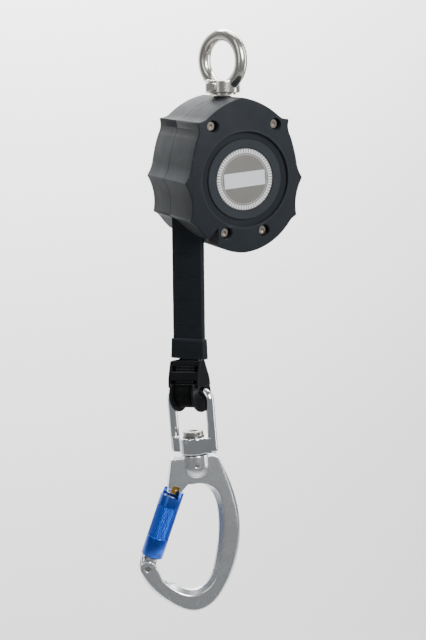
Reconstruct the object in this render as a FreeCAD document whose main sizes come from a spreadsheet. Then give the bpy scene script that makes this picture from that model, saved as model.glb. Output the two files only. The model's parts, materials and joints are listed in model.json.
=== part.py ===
"""Self retracting lifeline: housing, drum and brake, webbing line, swivel and locking carabiner.

Millimetres, +Z up, +X to the right, the front faces -Y.  The origin is the centre of the anchor
eye's hole.  The drum's axis runs along Y, one `drop` below the eye.
"""
import FreeCAD, Part
import math
import os
import re
from types import SimpleNamespace

import Sketcher
from FreeCAD import Placement, Rotation, Vector

os.makedirs("parts", exist_ok=True)
doc = FreeCAD.newDocument("lifeline")
X_AXIS, Y_AXIS, Z_AXIS = Vector(1, 0, 0), Vector(0, 1, 0), Vector(0, 0, 1)
FAR = 90.0  # how far a tool reaches when it has to pass right through a piece

# ---------------------------------------------------------------- driving dimensions
SIZES = {
    # anchor eye
    "eye_ring": 21.6, "eye_wire": 5.4, "eye_land": 0.15, "eye_yaw": -68.5,
    "collar_rad": 15.0, "collar_high": "=2 * eye_wire - eye_land", "collar_clear": 0.2,
    "collar_pad_wide": 11.0, "collar_pad_high": 6.0,
    "collar_pad_deep": 0.5,
    "stud_rad": 6.0, "stud_head_rad": 11.0, "stud_head_high": 4.0,
    "washer_rad": 11.5, "washer_thick": 1.6, "washer_gap": 0.6, "seat_gap": 1.2,
    # housing outline, measured from the drum axis
    "drop": "=eye_ring + eye_wire + collar_clear + washer_thick + seat_gap + top_high",
    "top_high": 68.0, "top_side_x": 33.0, "top_side_z": 52.0,
    "ridge_a_x": 43.0, "ridge_a_z": 49.0, "ridge_b_x": 55.0, "ridge_b_z": -1.0,
    "ridge_c_x": 50.0, "ridge_c_z": -33.5, "flank_top_x": 43.6, "flank_top_z": 35.0,
    "flank_low_x": 49.2, "flank_low_z": 13.0, "waist_x": 48.7, "waist_z": -20.0,
    "skirt_x": 43.2, "skirt_z": -38.6, "bottom_low": 62.8, "ridge_dip": 1.1,
    "crown_bulge": 2.6, "belly_bulge": 5.9, "flank_bulge": 0.5, "skirt_dip": 0.7,
    # housing depth
    "dome_rad": 360.0, "front_apex": 47.2, "rear_apex": 47.0, "rear_flat": 44.5, "parting": 4.0,
    "front_wall": 36.0, "rear_wall": 38.6, "shell_wall": 3.0, "cavity_rad": 42.5, "cover_gap": 0.15,
    "yoke_room": 0.8, "lip_step": 2.5, "lip_deep": 2.2,
    # face of the front cover
    "pocket_rad": 40.0, "pocket_deep": 1.7, "disc_rad": 34.0, "disc_face": 43.0,
    "plate_rad": 26.2, "plate_seat": 1.2, "plate_thick": 0.8, "plate_gap": 0.1,
    # cover screws
    "screw_high_x": 29.2, "screw_high_z": 45.3, "screw_low_x": 17.8, "screw_low_z": -44.5,
    "screw_rad": 2.0, "screw_head_rad": 3.6, "screw_head_high": 4.0, "screw_bore_rad": 5.0,
    "screw_sunk": 5.0, "screw_play": 0.2, "insert_rad": 3.2, "insert_long": 10.0,
    "hex_socket": 1.75, "hex_deep": 2.4,
    # frame
    "frame_thick": 2.5, "frame_rad": 40.5, "yoke_wide": 28.0, "yoke_low": 43.5, "yoke_high": 57.5,
    "spacer_rad": 3.5, "spacer_z": -46.5, "tail_wide": 12.0, "tie_rad": 2.0, "tie_head": 3.6,
    "tie_x": 9.9, "tie_z": 50.0, "tie_head_high": 2.0, "tail_over": 1.5,
    "bush_wall": 1.5, "fit": 0.05,
    # drum
    "axle_rad": 5.0, "web_wide": 20.0, "web_thick": 2.0, "web_centre": -5.5, "hub_rad": 14.0,
    "coil_rad": 36.4, "flange_rad": 39.0, "flange_thick": 2.0, "side_gap": 0.5, "run_gap": 0.7,
    "hub_bush_wall": 2.0, "arbor_wall": 3.0, "clip_rad": 7.5, "clip_thick": 1.0,
    # ratchet and pawls
    "ratchet_outer": 38.2, "ratchet_tip": 31.0, "ratchet_root": 34.6, "ratchet_teeth": 12,
    "tooth_gap": 16.0, "ratchet_thick": 6.0, "pawl_thick": 4.4, "pawl_pivot": 22.0,
    "pawl_long": 15.0, "pawl_wide": 6.0, "pawl_pin": 2.0, "pawl_taper": 1.4, "pawl_hook": 0.6,
    "pawl_lift": 0.4, "pawl_gap": 0.4, "catch_rad": 1.3, "catch_at": 13.0, "catch_long": 5.0,
    "catch_rise": 2.0,
    # retraction spring
    "case_outer": 38.0, "case_wall": 1.8, "case_deep": 18.0, "spring_strip": 0.6,
    "spring_pitch": 2.1, "spring_gap": 1.0,
    # line, its mouth and its pack
    "exit_x": -37.0, "exit_z": -32.0, "line_heading": -114.5, "line_lean": 6.0,
    "strap_yaw": -54.5, "pack_wide": "=web_wide + 10.5", "pack_thick": 5.5,
    "pack_long": "=bar_below - guard_top - keeper_high - neck_gap", "neck_gap": 1.6,
    "mouth_gap": 0.9, "mouth_rise": 1.0, "mouth_reach": 45.0,
    "throat_side": "=web_wide * 0.06", "throat_out": "=web_wide * 0.325",
    "throat_in": "=web_wide * 0.45", "throat_lap": 1.5,
    "coil_gap": 0.3, "strand_straight": 10.0, "guide_wide": "=web_wide + 4",
    "guide_thick": 7.0, "guide_high": 4.5, "core_wide": "=web_wide + 3", "core_thick": 3.4, "core_gap": 0.15,
    "slot_wide": "=web_wide - 2.5", "slot_high": 2.6, "slot_deep": 0.4,
    "slot_first": "=pack_long * 0.31034", "slot_step": "=pack_long * 0.19199",
    "slots": 4,
    "keeper_wide": "=web_wide + 14", "keeper_thick": 8.0, "keeper_high": 17.5, "keeper_gap": 0.6,
    # guard, thimble and loop, measured from the bail bar
    "bar_below": 154.0, "grip_roll": -4.0, "guard_wide": "=web_wide + 11", "guard_wall": 2.3,
    "guard_top": 27.6, "guard_low": 4.8, "guard_skin": 1.8,
    "thimble_groove": 8.3, "thimble_rim": 15.5, "thimble_sink": 2.4, "thimble_top": 8.0,
    "rim_thick": 2.0, "loop_thick": 3.4, "bar_play": 0.3,
    # bail and swivel
    "bar_rad": 4.0, "leg_x": "=web_wide / 2 + 9.3", "bail_bend": 7.5, "swivel_top": 40.0, "swivel_high": 14.5,
    "swivel_rad": 13.0, "lug_half": 4.6, "swivel_pin_rad": 5.0, "swivel_bush": 1.5,
    "nut_rad": 8.8, "nut_high": 4.2, "nut_hole": 3.9, "nut_hole_deep": 1.6, "disc_thick": 0.8,
    "disc_over": 0.8, "lock_pin_rad": 0.9, "lock_pin_long": 5.0, "swivel_gap": 0.1,
    "swivel_spin": 38.0, "stud_sunk": 14.0, "lock_pin_z": 11.0, "barrel_round": 1.0,
    # carabiner
    "body_thick": 14.0, "spine_bevel": 2.6, "bay_bevel": 4.6, "bevel_down": 4.6,
    "boss_rad": 12.0, "boss_straight": 10.5, "shoulder_drop": 1.6, "cross_pin_rad": 1.4,
    "cross_pin_z": -8.7,
    "pin_x": -50.1, "pin_z": -96.8, "gate_tilt": 23.2, "gate_rad": 6.2, "gate_end": 67.5,
    "gate_foot": 7.3, "tongue_half": 3.0, "tongue_gap": 0.2, "tongue_rad": 5.6,
    "hinge_pin_rad": 2.2, "knuckle_rad": 7.0, "gate_swing": 28.0,
    "sleeve_rad": 9.8, "sleeve_low": 11.0, "sleeve_high": 72.5, "sleeve_bore_gap": 0.05,
    "notch_deep": 5.6, "notch_over": 4.5, "notch_play": 0.3, "nose_rad": 5.8, "nose_lap": 3.0,
    "nose_gap": 0.7, "nose_top": 84.0, "insert_half": 3.0, "insert_side": 0.6,
    "insert_back": 2.0, "insert_top": 77.0, "insert_lift": 0.5, "ball_rad": 1.4, "ball_x": 1.2,
    "ball_z": 73.2, "ball_out": 4.6,
    "gate_bore": 3.0, "bore_low": 20.0, "bore_high": 50.0, "spring_end": 1.0, "spring_play": 0.4,
    "spring_wall": 1.0, "ring_groove": 0.9, "ring_thick": 1.0,
}

sheet = doc.addObject("Spreadsheet::Sheet", "Dimensions")
for row, alias in enumerate(SIZES, start=1):
    sheet.set(f"A{row}", alias)
    sheet.setAlias(f"B{row}", alias)
for row, size in enumerate(SIZES.values(), start=1):
    sheet.set(f"B{row}", str(size))
doc.recompute()
d = SimpleNamespace(**{alias: float(sheet.get(alias)) for alias in SIZES})

# values that follow from the driving dimensions
collar_top = -(d.eye_ring - d.eye_wire + d.eye_land + d.collar_clear)
collar_foot = -(d.eye_ring + d.eye_wire + d.collar_clear)
coil_front = d.web_centre - d.web_wide / 2
coil_rear = d.web_centre + d.web_wide / 2
flange_front_y = coil_front - d.side_gap - d.flange_thick
flange_rear_y = coil_rear + d.side_gap
ratchet_y = flange_front_y - d.run_gap - d.ratchet_thick
frame_front_y = ratchet_y - d.frame_thick
case_y = flange_rear_y + d.flange_thick + d.run_gap
frame_rear_y = case_y + d.case_deep
hub_bore = d.axle_rad + d.hub_bush_wall
washer_z = -(d.drop - d.top_high) + d.washer_gap

# ---------------------------------------------------------------- frames of the sub-assemblies
ANCHOR = Placement()
HOUSING = Placement(Vector(0, 0, -d.drop), Rotation())
lean_axis = Rotation(Z_AXIS, d.line_heading - 90).multVec(X_AXIS)
line_turn = Rotation(lean_axis, d.line_lean) * Rotation(Z_AXIS, d.strap_yaw)
LINE = Placement(Vector(d.exit_x, d.web_centre, d.exit_z - d.drop), line_turn)
view_axis = Rotation(Z_AXIS, d.line_heading + 180).multVec(X_AXIS)
GRIP = Placement(LINE.multVec(Vector(0, 0, -d.bar_below)),
                 Rotation(view_axis, d.grip_roll) * line_turn)
connector_top = -(d.swivel_top + d.swivel_high + d.disc_thick + 2 * d.swivel_gap)
CONNECTOR = GRIP * Placement(Vector(0, 0, connector_top), Rotation(Z_AXIS, d.swivel_spin))
GATE = CONNECTOR * Placement(Vector(d.pin_x, 0, d.pin_z), Rotation(Y_AXIS, d.gate_tilt))

TURN = {"x": Rotation(Y_AXIS, 90), "y": Rotation(X_AXIS, -90), "z": Rotation()}
pieces = []


# ---------------------------------------------------------------- building helpers
def bound(text):
    """Expression in which every alias is read from the sheet."""
    return re.sub(r"[a-z_]+", lambda word: "Dimensions." + word[0] if word[0] in SIZES else word[0],
                  str(text))


def locate(obj, at, axis):
    """Turn a primitive so that it rises along `axis` and bind its start point."""
    obj.Placement = Placement(Vector(), TURN[axis])
    for key, value in zip("xyz", at):
        obj.setExpression("Placement.Base." + key, bound(value))


def cylinder(radius, height, at=(0, 0, 0), axis="y"):
    obj = doc.addObject("Part::Cylinder", "Cylinder")
    obj.setExpression("Radius", bound(radius))
    obj.setExpression("Height", bound(height))
    locate(obj, at, axis)
    return obj


def box(wide, deep, high, at=(0, 0, 0)):
    obj = doc.addObject("Part::Box", "Box")
    obj.setExpression("Length", bound(wide))
    obj.setExpression("Width", bound(deep))
    obj.setExpression("Height", bound(high))
    locate(obj, at, "z")
    return obj


def fuse(*parts):
    obj = doc.addObject("Part::MultiFuse", "Fuse")
    obj.Shapes = list(parts)
    return obj


def cut(base, *tools):
    obj = doc.addObject("Part::Cut", "Cut")
    obj.Base = base
    obj.Tool = tools[0] if len(tools) == 1 else fuse(*tools)
    return obj


def piece(label, obj, frame):
    """Name a finished sub-part and put it in its frame."""
    doc.recompute()
    obj.Label = label
    obj.Placement = frame * obj.Placement
    pieces.append(obj)
    return obj


def shaped(label, shape, frame):
    """Sub-part whose shape is made with Part's own functions from the sheet's values."""
    obj = doc.addObject("Part::Feature", label)
    obj.Shape = shape
    return piece(label, obj, frame)


def ring(label, outer, inner, start, thick, frame=HOUSING, axis="y"):
    """Flat ring or tube round the axis, from `start` along it."""
    at = {"x": (start, 0, 0), "y": (0, start, 0), "z": (0, 0, start)}[axis]
    return piece(label, cut(cylinder(outer, thick, at, axis), cylinder(inner, thick, at, axis)), frame)


def rod(radius, start, end):
    """Plain cylinder shape from one point to another."""
    run = end - start
    return Part.makeCylinder(radius, run.Length, start, run)


def block(x0, x1, y0, y1, z0, z1):
    """Plain box shape between two corners."""
    return Part.makeBox(x1 - x0, y1 - y0, z1 - z0, Vector(x0, y0, z0))


def prism(edges, run):
    """Solid between a closed outline and its copy moved by `run`."""
    return Part.Face(Part.Wire(edges)).extrude(run)


def arc(a, b, c):
    return Part.Arc(a, b, c).toShape()


def line(a, b):
    return Part.LineSegment(a, b).toShape()


def curve(points):
    """Smooth edge through the points."""
    spline = Part.BSplineCurve()
    spline.interpolate(points)
    return spline.toShape()


def pad_body(label, rings, thick, rear, outline=()):
    """Plate across the drum axis: a sketch of circles and an optional straight-sided outline, padded
    forward from `rear`."""
    body = doc.addObject("PartDesign::Body", label)
    plane = next(f for f in body.Origin.OriginFeatures if f.Role == "XZ_Plane")
    sketch = body.newObject("Sketcher::SketchObject", label + "_sketch")
    sketch.AttachmentSupport = [(plane, "")]
    sketch.MapMode = "FlatFace"
    for start, end in zip(outline, outline[1:] + outline[:1]):
        sketch.addGeometry(Part.LineSegment(Vector(*start), Vector(*end)))
    for x, z, radius in rings:
        index = sketch.addGeometry(Part.Circle(Vector(x, z), Z_AXIS, 1.0))
        number = sketch.addConstraint(Sketcher.Constraint("Radius", index, 1.0))
        sketch.setExpression(f"Constraints[{number}]", bound(radius))
    pad = body.newObject("PartDesign::Pad", label + "_pad")
    pad.Profile = sketch
    pad.setExpression("Length", bound(thick))
    body.Placement.Base.y = rear
    return piece(label, body, HOUSING)


# ---------------------------------------------------------------- anchor eye
def anchor_eye_nut():
    """Forged eye nut: a round ring on a round foot, with a raised pad on the foot's side."""
    wire = doc.addObject("Part::Torus", "Torus")
    wire.setExpression("Radius1", bound("eye_ring"))
    wire.setExpression("Radius2", bound("eye_wire"))
    wire.Placement.Rotation = TURN["y"]
    foot = cylinder("collar_rad", "collar_high", (0, 0, collar_foot), "z")
    pad = box("collar_pad_wide", "collar_rad + collar_pad_deep", "collar_pad_high",
              ("-collar_pad_wide / 2", "-collar_rad - collar_pad_deep",
               f"{collar_foot} + (collar_high - collar_pad_high) / 2"))
    hole = cylinder("eye_ring - eye_wire + eye_land", "4 * eye_wire", (0, "-2 * eye_wire", 0))
    thread = cylinder("stud_rad", "collar_high * 0.9", (0, 0, collar_foot), "z")
    eye = cut(fuse(wire, foot, pad), hole, thread)
    piece("anchor_eye_nut", eye, Placement(Vector(), Rotation(Z_AXIS, d.eye_yaw)))


bush_bore = d.stud_rad + d.fit
yoke_under = d.yoke_low - d.drop
head_top = yoke_under - d.fit


def anchor_stud():
    """Shouldered stud that hangs the frame from the eye nut, with its head under the yoke."""
    top = collar_foot + d.collar_high * 0.9
    shank = cylinder("stud_rad", top - head_top, (0, 0, head_top), "z")
    head = cylinder("stud_head_rad", "stud_head_high", (0, 0, f"{head_top} - stud_head_high"), "z")
    piece("anchor_stud", fuse(shank, head), ANCHOR)


# ---------------------------------------------------------------- housing covers
def outline():
    """Closed ridged outline of the housing in the plane across the drum axis."""
    def at(x, z):
        return Vector(x, 0, z)

    def dip(a, b, depth):
        """Point beside the middle of a to b, `depth` nearer the drum axis."""
        middle = (a + b) / 2
        return middle - Vector(middle).normalize() * depth

    top, top_side = at(0, d.top_high), at(d.top_side_x, d.top_side_z)
    ridge_a, flank_top = at(d.ridge_a_x, d.ridge_a_z), at(d.flank_top_x, d.flank_top_z)
    flank_low, ridge_b = at(d.flank_low_x, d.flank_low_z), at(d.ridge_b_x, d.ridge_b_z)
    waist, ridge_c = at(d.waist_x, d.waist_z), at(d.ridge_c_x, d.ridge_c_z)
    skirt, bottom = at(d.skirt_x, d.skirt_z), at(0, -d.bottom_low)
    crown = dip(top, top_side, -d.crown_bulge)
    belly = dip(skirt, bottom, -d.belly_bulge)
    mirror = lambda p: Vector(-p.x, 0, p.z)
    right = [(top, crown, top_side), (top_side, dip(top_side, ridge_a, d.ridge_dip), ridge_a),
             (ridge_a, dip(ridge_a, flank_top, 2 * d.ridge_dip), flank_top),
             (flank_top, dip(flank_top, flank_low, -d.flank_bulge), flank_low),
             (flank_low, dip(flank_low, ridge_b, d.ridge_dip), ridge_b),
             (ridge_b, waist, ridge_c), (ridge_c, dip(ridge_c, skirt, d.skirt_dip), skirt),
             (skirt, belly, bottom)]
    left = [(mirror(c), mirror(b), mirror(a)) for a, b, c in reversed(right)]
    return [arc(*points) for points in right + left]


def mouth():
    """Room for the pack's top end and the webbing above it, in the housing's frame."""
    to_housing = HOUSING.inverse() * LINE
    gap, high = d.mouth_gap, d.mouth_rise
    slot = block(-d.pack_wide / 2 - gap, d.pack_wide / 2 + gap,
                 -d.pack_thick / 2 - gap, d.pack_thick / 2 + gap, -d.mouth_reach, high)
    slot.Placement = to_housing
    guide = block(-d.guide_wide / 2, d.guide_wide / 2, -d.guide_thick / 2, d.guide_thick / 2,
                  high, high + d.guide_high)
    guide.Placement = to_housing
    half = d.web_wide / 2 + d.throat_side
    throat = block(d.exit_x - d.throat_out, d.exit_x + d.throat_in, d.web_centre - half,
                   d.web_centre + half, d.exit_z + high + d.guide_high - d.throat_lap, 0)
    return slot.fuse([guide, throat])


front_centre = Vector(0, d.dome_rad - d.front_apex, 0)
rear_centre = Vector(0, d.rear_apex - d.dome_rad, 0)


def cavity():
    """Space inside the covers: round for the drum, tall for the yoke, a tail for the spacer."""
    room = d.yoke_room
    deep = d.rear_wall + d.front_wall
    drum = rod(d.cavity_rad, Vector(0, -d.front_wall, 0), Vector(0, d.rear_wall, 0))
    yoke = block(-d.yoke_wide / 2 - room, d.yoke_wide / 2 + room, -d.front_wall, d.rear_wall,
                 0, d.yoke_high + room)
    tail = block(-d.tail_wide / 2 - room, d.tail_wide / 2 + room, -d.front_wall,
                 -d.front_wall + deep, d.spacer_z - d.spacer_rad - d.tail_over - room, 0)
    neck = rod(d.stud_rad + d.bush_wall + room, Vector(0, 0, 0), Vector(0, 0, FAR))
    lip = rod(d.collar_rad - d.lip_step, Vector(0, 0, d.top_high - d.lip_deep), Vector(0, 0, FAR))
    inner = d.dome_rad - d.shell_wall
    room = drum.fuse([yoke, tail]).common(Part.makeSphere(inner, front_centre))
    return room.common(Part.makeSphere(inner, rear_centre)).fuse([neck, lip])


SCREWS = [(side * x, z) for x, z in ((d.screw_high_x, d.screw_high_z),
                                     (d.screw_low_x, d.screw_low_z)) for side in (-1, 1)]


def dome_y(x, z):
    """Depth of the front dome's surface at a place on the face."""
    return front_centre.y - math.sqrt(d.dome_rad ** 2 - x ** 2 - z ** 2)


def seat_y(x, z):
    """Depth of the face that a cover screw's head rests on."""
    return dome_y(x, z) + d.screw_sunk + d.screw_head_high


def front_cover():
    """Domed front shell with the ringed pocket, the plate's seat and the screws' counterbores."""
    deep = FAR
    blank = Part.Face(Part.Wire(outline())).extrude(Vector(0, -deep, 0))
    blank.translate(Vector(0, d.parting, 0))
    shell = blank.common(Part.makeSphere(d.dome_rad, front_centre))
    face = -d.disc_face
    channel = rod(d.pocket_rad, Vector(0, -deep, 0), Vector(0, face + d.pocket_deep, 0))
    disc = rod(d.disc_rad, Vector(0, face, 0), Vector(0, face + 2 * d.pocket_deep, 0))
    seat = rod(d.plate_rad + d.plate_gap, Vector(0, -deep, 0), Vector(0, face + d.plate_seat, 0))
    tools = [channel.cut(disc), seat, cavity(), mouth()]
    for x, z in SCREWS:
        tools.append(rod(d.screw_bore_rad, Vector(x, -deep, z), Vector(x, seat_y(x, z), z)))
        tools.append(rod(d.screw_rad + d.screw_play, Vector(x, -deep, z), Vector(x, deep, z)))
    shaped("front_cover", shell.cut(tools), HOUSING)


def rear_cover():
    """Rear shell, flat in the middle of its dome, with bores for the brass inserts."""
    blank = Part.Face(Part.Wire(outline())).extrude(Vector(0, FAR, 0))
    blank.translate(Vector(0, d.parting + d.cover_gap, 0))
    shell = blank.common(Part.makeSphere(d.dome_rad, rear_centre))
    flat = block(-FAR, FAR, d.rear_flat, FAR, -FAR, FAR)
    tools = [flat, cavity(), mouth()]
    for x, z in SCREWS:
        tools.append(rod(d.insert_rad, Vector(x, 0, z),
                         Vector(x, d.parting + d.cover_gap + d.insert_long + 2, z)))
    shaped("rear_cover", shell.cut(tools), HOUSING)


def nameplate():
    """Round metal plate in the middle of the front cover."""
    pad_body("nameplate", [(0, 0, "plate_rad")], "plate_thick",
             -d.disc_face + d.plate_seat)


def cover_screws():
    """Four socket head screws, each a head with a hexagon socket and a shank."""
    solids = []
    for x, z in SCREWS:
        seat = seat_y(x, z)
        head = rod(d.screw_head_rad, Vector(x, seat - d.screw_head_high, z), Vector(x, seat, z))
        shank = rod(d.screw_rad, Vector(x, seat - 1, z),
                    Vector(x, d.parting + d.cover_gap + d.insert_long - 1, z))
        corners = [Vector(x + d.hex_socket * math.cos(turn), seat - d.screw_head_high,
                          z + d.hex_socket * math.sin(turn))
                   for turn in (math.radians(60 * step) for step in range(6))]
        socket = prism([line(a, b) for a, b in zip(corners, corners[1:] + corners[:1])],
                       Vector(0, d.hex_deep, 0))
        solids.append(head.fuse(shank).cut(socket))
    shaped("cover_screws", Part.Compound(solids), HOUSING)


def cover_inserts():
    """Four brass inserts in the rear cover that the screws run into."""
    start = d.parting + d.cover_gap
    solids = [rod(d.insert_rad, Vector(x, start, z), Vector(x, start + d.insert_long, z)).cut(
        rod(d.screw_rad, Vector(x, start, z), Vector(x, start + d.insert_long, z)))
        for x, z in SCREWS]
    shaped("cover_inserts", Part.Compound(solids), HOUSING)


# ---------------------------------------------------------------- frame
TIES = [(-d.tie_x, d.tie_z), (d.tie_x, d.tie_z), (0, d.spacer_z)]


def frame_plate(label, rear):
    """Steel side plate: a disc round the drum with a tongue up to the yoke and a tail."""
    disc = rod(d.frame_rad, Vector(0, rear - d.frame_thick, 0), Vector(0, rear, 0))
    tongue = block(-d.yoke_wide / 2, d.yoke_wide / 2, rear - d.frame_thick, rear, 0, d.yoke_high)
    tail = block(-d.tail_wide / 2, d.tail_wide / 2, rear - d.frame_thick, rear,
                 d.spacer_z - d.spacer_rad - d.tail_over, 0)
    holes = [rod(d.axle_rad, Vector(0, rear - 10, 0), Vector(0, rear + 10, 0))]
    holes += [rod(d.tie_rad, Vector(x, rear - 10, z), Vector(x, rear + 10, z)) for x, z in TIES]
    shaped(label, disc.fuse([tongue, tail]).cut(holes), HOUSING)


frame_mid = (ratchet_y, frame_rear_y)


def yoke_block():
    """Steel block between the side plates that carries the swivelling stud."""
    body = block(-d.yoke_wide / 2, d.yoke_wide / 2, *frame_mid, d.yoke_low, d.yoke_high)
    stud = rod(d.stud_rad + d.bush_wall, Vector(0, 0, 0), Vector(0, 0, FAR))
    ties = [rod(d.tie_rad, Vector(x, -FAR, z), Vector(x, FAR, z)) for x, z in TIES[:2]]
    shaped("yoke_block", body.cut([stud] + ties), HOUSING)


def swivel_bush():
    """Dark nylon bush with a lip on the yoke, in which the stud turns."""
    wall = f"{bush_bore} + bush_wall - fit"
    tube = cylinder(wall, "yoke_high - yoke_low", (0, 0, "yoke_low"), "z")
    neck = cylinder(wall, f"{washer_z} + drop - yoke_high - washer_gap",
                    (0, 0, "yoke_high"), "z")
    bore = cylinder(f"{bush_bore}", 60, (0, 0, 20), "z")
    piece("swivel_bush", cut(fuse(tube, neck), bore), HOUSING)


def anchor_washer():
    """Stainless washer under the eye nut's foot."""
    ring("anchor_washer", "washer_rad", bush_bore, f"{collar_foot} - washer_thick",
         "washer_thick", ANCHOR, "z")


def frame_spacer():
    """Tube that keeps the side plates apart below the drum."""
    start, end = frame_mid
    at = Vector(0, start, d.spacer_z)
    shape = rod(d.spacer_rad, at, Vector(0, end, d.spacer_z)).cut(
        rod(d.tie_rad, at, Vector(0, end, d.spacer_z)))
    shaped("frame_spacer", shape, HOUSING)


def frame_rivets():
    """Three through rivets that tie the side plates to the yoke and the spacer."""
    start, end = frame_front_y, frame_rear_y + d.frame_thick
    solids = []
    for x, z in TIES:
        shank = rod(d.tie_rad, Vector(x, start, z), Vector(x, end, z))
        heads = [rod(d.tie_head, Vector(x, start - d.tie_head_high, z), Vector(x, start, z)),
                 rod(d.tie_head, Vector(x, end, z), Vector(x, end + d.tie_head_high, z))]
        solids.append(shank.fuse(heads))
    shaped("frame_rivets", Part.Compound(solids), HOUSING)


def drum_axle():
    """Fixed axle through both side plates, held by a clip at each end."""
    start = frame_front_y - 2 * d.clip_thick
    end = frame_rear_y + d.frame_thick + 2 * d.clip_thick
    shaped("drum_axle", rod(d.axle_rad, Vector(0, start, 0), Vector(0, end, 0)), HOUSING)
    clips = [Part.makeCylinder(d.clip_rad, d.clip_thick, Vector(0, y, 0), Y_AXIS).cut(
        Part.makeCylinder(d.axle_rad, d.clip_thick, Vector(0, y, 0), Y_AXIS))
        for y in (frame_front_y - d.clip_thick, frame_rear_y + d.frame_thick)]
    shaped("axle_clips", Part.Compound(clips), HOUSING)


def ratchet_ring():
    """Toothed ring on the front plate; its gaps catch the pawls."""
    start = Vector(0, ratchet_y, 0)
    end = Vector(0, ratchet_y + d.ratchet_thick, 0)
    body = rod(d.ratchet_outer, start, end).cut(rod(d.ratchet_tip, start, end))
    pitch = 360 / d.ratchet_teeth
    reach = rod(d.ratchet_root, start, end)
    wedges = []
    for tooth in range(int(d.ratchet_teeth)):
        low = math.radians(pitch * tooth - d.tooth_gap / 2)
        high = math.radians(pitch * tooth + d.tooth_gap / 2)
        corners = [start + Vector(math.cos(a), 0, math.sin(a)) * r
                   for a, r in ((low, 20), (low, 60), (high, 60), (high, 20))]
        wedges.append(prism([line(a, b) for a, b in zip(corners, corners[1:] + corners[:1])],
                            Vector(0, d.ratchet_thick, 0)).common(reach))
    shaped("ratchet_ring", body.cut(wedges), HOUSING)


# ---------------------------------------------------------------- drum
def drum_parts():
    """Hub, flanges, bushes, arbor and the wound webbing, all turning on the axle."""
    hub_start, hub_end = coil_front - d.side_gap, coil_rear + d.side_gap
    ring("drum_hub", "hub_rad", hub_bore, hub_start, hub_end - hub_start)
    pad_body("drum_flange_front", [(0, 0, "flange_rad"), (0, 0, hub_bore)], "flange_thick",
             flange_front_y + d.flange_thick)
    pad_body("drum_flange_rear", [(0, 0, "flange_rad"), (0, 0, hub_bore)], "flange_thick",
             flange_rear_y + d.flange_thick)
    ring("drum_bush", hub_bore, "axle_rad + fit", flange_front_y,
         flange_rear_y + d.flange_thick - flange_front_y)
    ring("webbing_coil", "coil_rad", "hub_rad", coil_front, "web_wide")
    ring("spring_arbor", hub_bore + d.arbor_wall, "axle_rad + fit",
         flange_rear_y + d.flange_thick, d.case_deep - d.case_wall)


def pawl(label, side):
    """Pawl on the front flange: an arm round its pin with a nose towards the ratchet ring."""
    y = flange_front_y - d.pawl_gap - d.pawl_thick
    half = d.pawl_wide / 2
    eye = rod(half, Vector(0, y, d.pawl_pivot), Vector(0, y + d.pawl_thick, d.pawl_pivot))
    corners = [Vector(0, y, d.pawl_pivot + half), Vector(d.pawl_long, y, d.pawl_pivot + half - d.pawl_taper),
               Vector(d.pawl_long + d.pawl_hook, y, d.pawl_pivot + d.pawl_lift),
               Vector(0, y, d.pawl_pivot - half)]
    arm = prism([line(a, b) for a, b in zip(corners, corners[1:] + corners[:1])],
                Vector(0, d.pawl_thick, 0))
    bore = rod(d.pawl_pin + d.fit, Vector(0, y - 1, d.pawl_pivot), Vector(0, y + 9, d.pawl_pivot))
    shape = eye.fuse(arm).cut(bore)
    if side < 0:
        shape.rotate(Vector(), Y_AXIS, 180)
    shaped(label, shape, HOUSING)


def pawl_fittings():
    """Pins of the two pawls and the small springs that hold the pawls in."""
    start = flange_front_y - d.run_gap - d.pawl_thick
    pins, springs = [], []
    for side in (1, -1):
        pins.append(rod(d.pawl_pin, Vector(0, start, side * d.pawl_pivot),
                        Vector(0, flange_front_y, side * d.pawl_pivot)))
        low = Vector(side * d.catch_at, flange_front_y - d.catch_rad, side * d.catch_at)
        springs.append(rod(d.catch_rad, low,
                           low + Vector(-side * d.catch_long, 0, side * d.catch_rise)))
    shaped("pawl_pins", Part.Compound(pins), HOUSING)
    shaped("pawl_springs", Part.Compound(springs), HOUSING)


# ---------------------------------------------------------------- retraction spring
def spring_case():
    """Open cup on the rear plate that holds the spring's outer end."""
    outer = cylinder("case_outer", "case_deep", (0, case_y, 0))
    inner = cylinder("case_outer - case_wall", "case_deep", (0, f"{case_y} + case_wall", 0))
    hole = cylinder(f"{hub_bore} + arbor_wall + spring_gap", 5, (0, case_y - 1, 0))
    piece("spring_case", cut(outer, inner, hole), HOUSING)


def mainspring():
    """Flat spiral spring, each half turn an arc a little larger than the one before."""
    inner = hub_bore + d.arbor_wall + 0.4
    outer = d.case_outer - d.case_wall - 0.4 - d.spring_strip
    turns = int((outer - inner) / d.spring_pitch)
    step = d.spring_pitch / 2
    y = case_y + d.case_wall + 0.5

    def spiral(start):
        edges = []
        left = -start
        for half in range(2 * turns):
            width = start + half * step
            sign = 1 if half % 2 == 0 else -1
            a = Vector(left, y, 0)
            b = Vector(left + sign * 2 * width + sign * step, y, 0)
            middle = (a + b) / 2 + Vector(0, 0, sign * (a - b).Length / 2)
            edges.append((a, middle, b))
            left = b.x
        return edges
    low = spiral(inner)
    high = [tuple(p + Vector(math.copysign(d.spring_strip, p.x), 0, 0) if i != 1
                  else p + Vector(0, 0, math.copysign(d.spring_strip, p.z))
                  for i, p in enumerate(points)) for points in low]
    edges = [arc(*points) for points in low] + [line(low[-1][2], high[-1][2])]
    edges += [arc(*points) for points in reversed(high)] + [line(high[0][0], low[0][0])]
    shape = prism(edges, Vector(0, d.case_deep - d.case_wall - 1.0, 0))
    shaped("mainspring", shape, HOUSING)


# ---------------------------------------------------------------- line and pack
def rectangle(wide, thick, z):
    """Closed rectangular wire across the line."""
    a, b = wide / 2, thick / 2
    corners = [Vector(-a, -b, z), Vector(a, -b, z), Vector(a, b, z), Vector(-a, b, z)]
    return Part.Wire([line(p, q) for p, q in zip(corners, corners[1:] + corners[:1])])


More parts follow.
